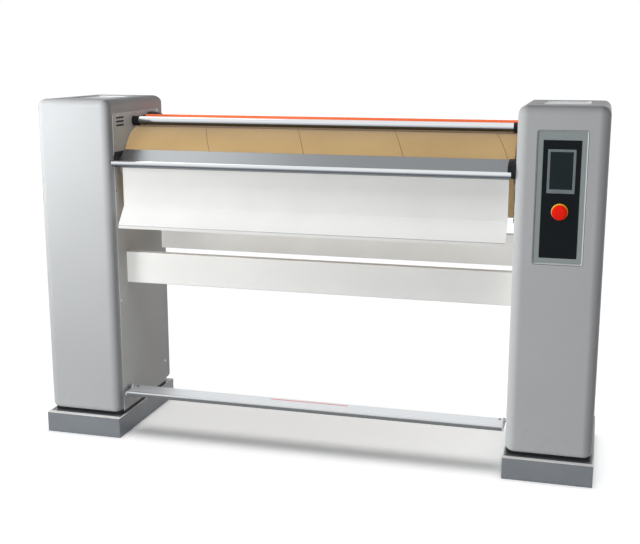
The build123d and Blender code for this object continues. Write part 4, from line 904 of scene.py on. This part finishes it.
def make_floor():
    """Pale floor, white to the camera and in reflections, that throws little light back up."""
    bpy.ops.mesh.primitive_plane_add(size=FLOOR_SIZE, location=(0, 0, 0))
    floor = bpy.context.object
    floor.name = "studio_floor"
    material = bpy.data.materials.new("studio_floor")
    material.use_nodes = True
    tree = material.node_tree
    tree.nodes.clear()
    output = tree.nodes.new("ShaderNodeOutputMaterial")
    diffuse = tree.nodes.new("ShaderNodeBsdfDiffuse")
    colour = tree.nodes.new("ShaderNodeMix")
    colour.data_type = "RGBA"
    tree.links.new(seen_by(tree, SHOWN_RAYS), colour.inputs[MIX_SHARE])
    colour.inputs[MIX_FIRST].default_value = (FLOOR_BOUNCE, FLOOR_BOUNCE, FLOOR_BOUNCE, 1.0)
    colour.inputs[MIX_SECOND].default_value = (FLOOR_SEEN, FLOOR_SEEN, FLOOR_SEEN, 1.0)
    tree.links.new(colour.outputs[MIX_RESULT], diffuse.inputs["Color"])
    tree.links.new(diffuse.outputs["BSDF"], output.inputs["Surface"])
    floor.data.materials.append(material)
    return floor


def make_world():
    """White behind the object, a weak even light from all round on it."""
    world = bpy.data.worlds.new("studio")
    bpy.context.scene.world = world
    world.use_nodes = True
    tree = world.node_tree
    tree.nodes.clear()
    output = tree.nodes.new("ShaderNodeOutputWorld")
    light = tree.nodes.new("ShaderNodeBackground")
    light.inputs["Color"].default_value = (*WORLD_COLOUR, 1.0)
    light.inputs["Strength"].default_value = WORLD_LIGHT
    seen = tree.nodes.new("ShaderNodeBackground")
    seen.inputs["Color"].default_value = (1.0, 1.0, 1.0, 1.0)
    seen.inputs["Strength"].default_value = 1.0
    mix = tree.nodes.new("ShaderNodeMixShader")
    tree.links.new(seen_by(tree, SHOWN_RAYS), mix.inputs[0])
    tree.links.new(light.outputs[0], mix.inputs[1])
    tree.links.new(seen.outputs[0], mix.inputs[2])
    tree.links.new(mix.outputs[0], output.inputs["Surface"])


def area_light(name, place, aim, size, power):
    """Rectangular lamp at a place, turned to the point that it aims at."""
    data = bpy.data.lights.new(name, "AREA")
    data.shape = "RECTANGLE"
    data.size, data.size_y = size
    data.energy = power
    lamp = bpy.data.objects.new(name, data)
    lamp.location = place
    direction = Vector(aim) - Vector(place)
    lamp.rotation_euler = direction.to_track_quat("-Z", "Y").to_euler()
    bpy.context.scene.collection.objects.link(lamp)
    return lamp


def gather(name, *objects):
    """Collection for light linking, which isn't part of the scene itself."""
    collection = bpy.data.collections.new(name)
    for item in objects:
        collection.objects.link(item)
    return collection


def make_floor_sun(floor, nodes, strength, angle, blockers):
    """Light from overhead for the floor alone, shaded by the named nodes or by everything."""
    data = bpy.data.lights.new("floor_sun", "SUN")
    data.energy = strength
    data.angle = math.radians(angle)
    sun = bpy.data.objects.new("floor_sun", data)
    bpy.context.scene.collection.objects.link(sun)
    sun.light_linking.receiver_collection = gather("floor_only", floor)
    if blockers:
        shading = [nodes[name] for name in blockers]
        sun.light_linking.blocker_collection = gather("shading_the_floor", *shading)


def keep_off(lamp, *objects):
    """Let a lamp light everything but the given objects."""
    spared = gather(lamp.name + "_spares", *objects)
    for link in spared.collection_objects:
        link.light_linking.link_state = "EXCLUDE"
    lamp.light_linking.receiver_collection = spared


def make_lights(floor, nodes):
    """Light on the object from all round, and light that falls on the floor alone."""
    pale = [nodes[name] for name in PALE_NODES]
    pale += [bpy.data.objects[name] for name in PALE_ADDED]
    for name, place, aim, size, power in AREA_LAMPS:
        lamp = area_light(name, place, aim, size, power)
        if name in SHADOWLESS_LAMPS:
            lamp.data.use_shadow = False
        if name in REFLECTED_LAMPS:
            lamp.visible_diffuse = False
        else:
            lamp.visible_glossy = False
        if name == "soft_key":
            lamp.light_linking.receiver_collection = gather("apron_and_cloth", *pale)
        elif name == "key":
            keep_off(lamp, floor, *pale)
        else:
            keep_off(lamp, floor, *(nodes[spared] for spared in NODES_SPARED_BY.get(name, ())))
    for sun in FLOOR_SUNS:
        make_floor_sun(floor, nodes, **sun)


def make_camera():
    """Camera where the photograph was taken from, with the lens that was solved for it."""
    data = bpy.data.cameras.new("camera")
    data.sensor_fit = "HORIZONTAL"
    data.sensor_width = SENSOR_WIDTH
    data.lens = CAMERA_LENS
    data.clip_end = CAMERA_REACH
    camera = bpy.data.objects.new("camera", data)
    camera.location = CAMERA_PLACE
    camera.rotation_euler = (math.pi / 2 - CAMERA_PITCH, 0.0, CAMERA_YAW)
    bpy.context.scene.collection.objects.link(camera)
    bpy.context.scene.camera = camera


def main():
    """Dress the frame, add the pieces and the stage."""
    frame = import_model()
    materials = make_materials()
    dress_nodes(frame, materials)
    make_roll_dressing(materials)
    make_chest_blanket(materials)
    make_plinth_highlights(materials)
    make_seam_highlights(materials)
    make_panel_slope(materials)
    make_fold_shade_strip(materials)
    make_pedal_trim(materials)
    make_emergency_stop(materials)
    floor = make_floor()
    make_world()
    make_lights(floor, frame["nodes"])
    make_camera()
    bpy.context.scene.view_settings.view_transform = "Standard"


main()
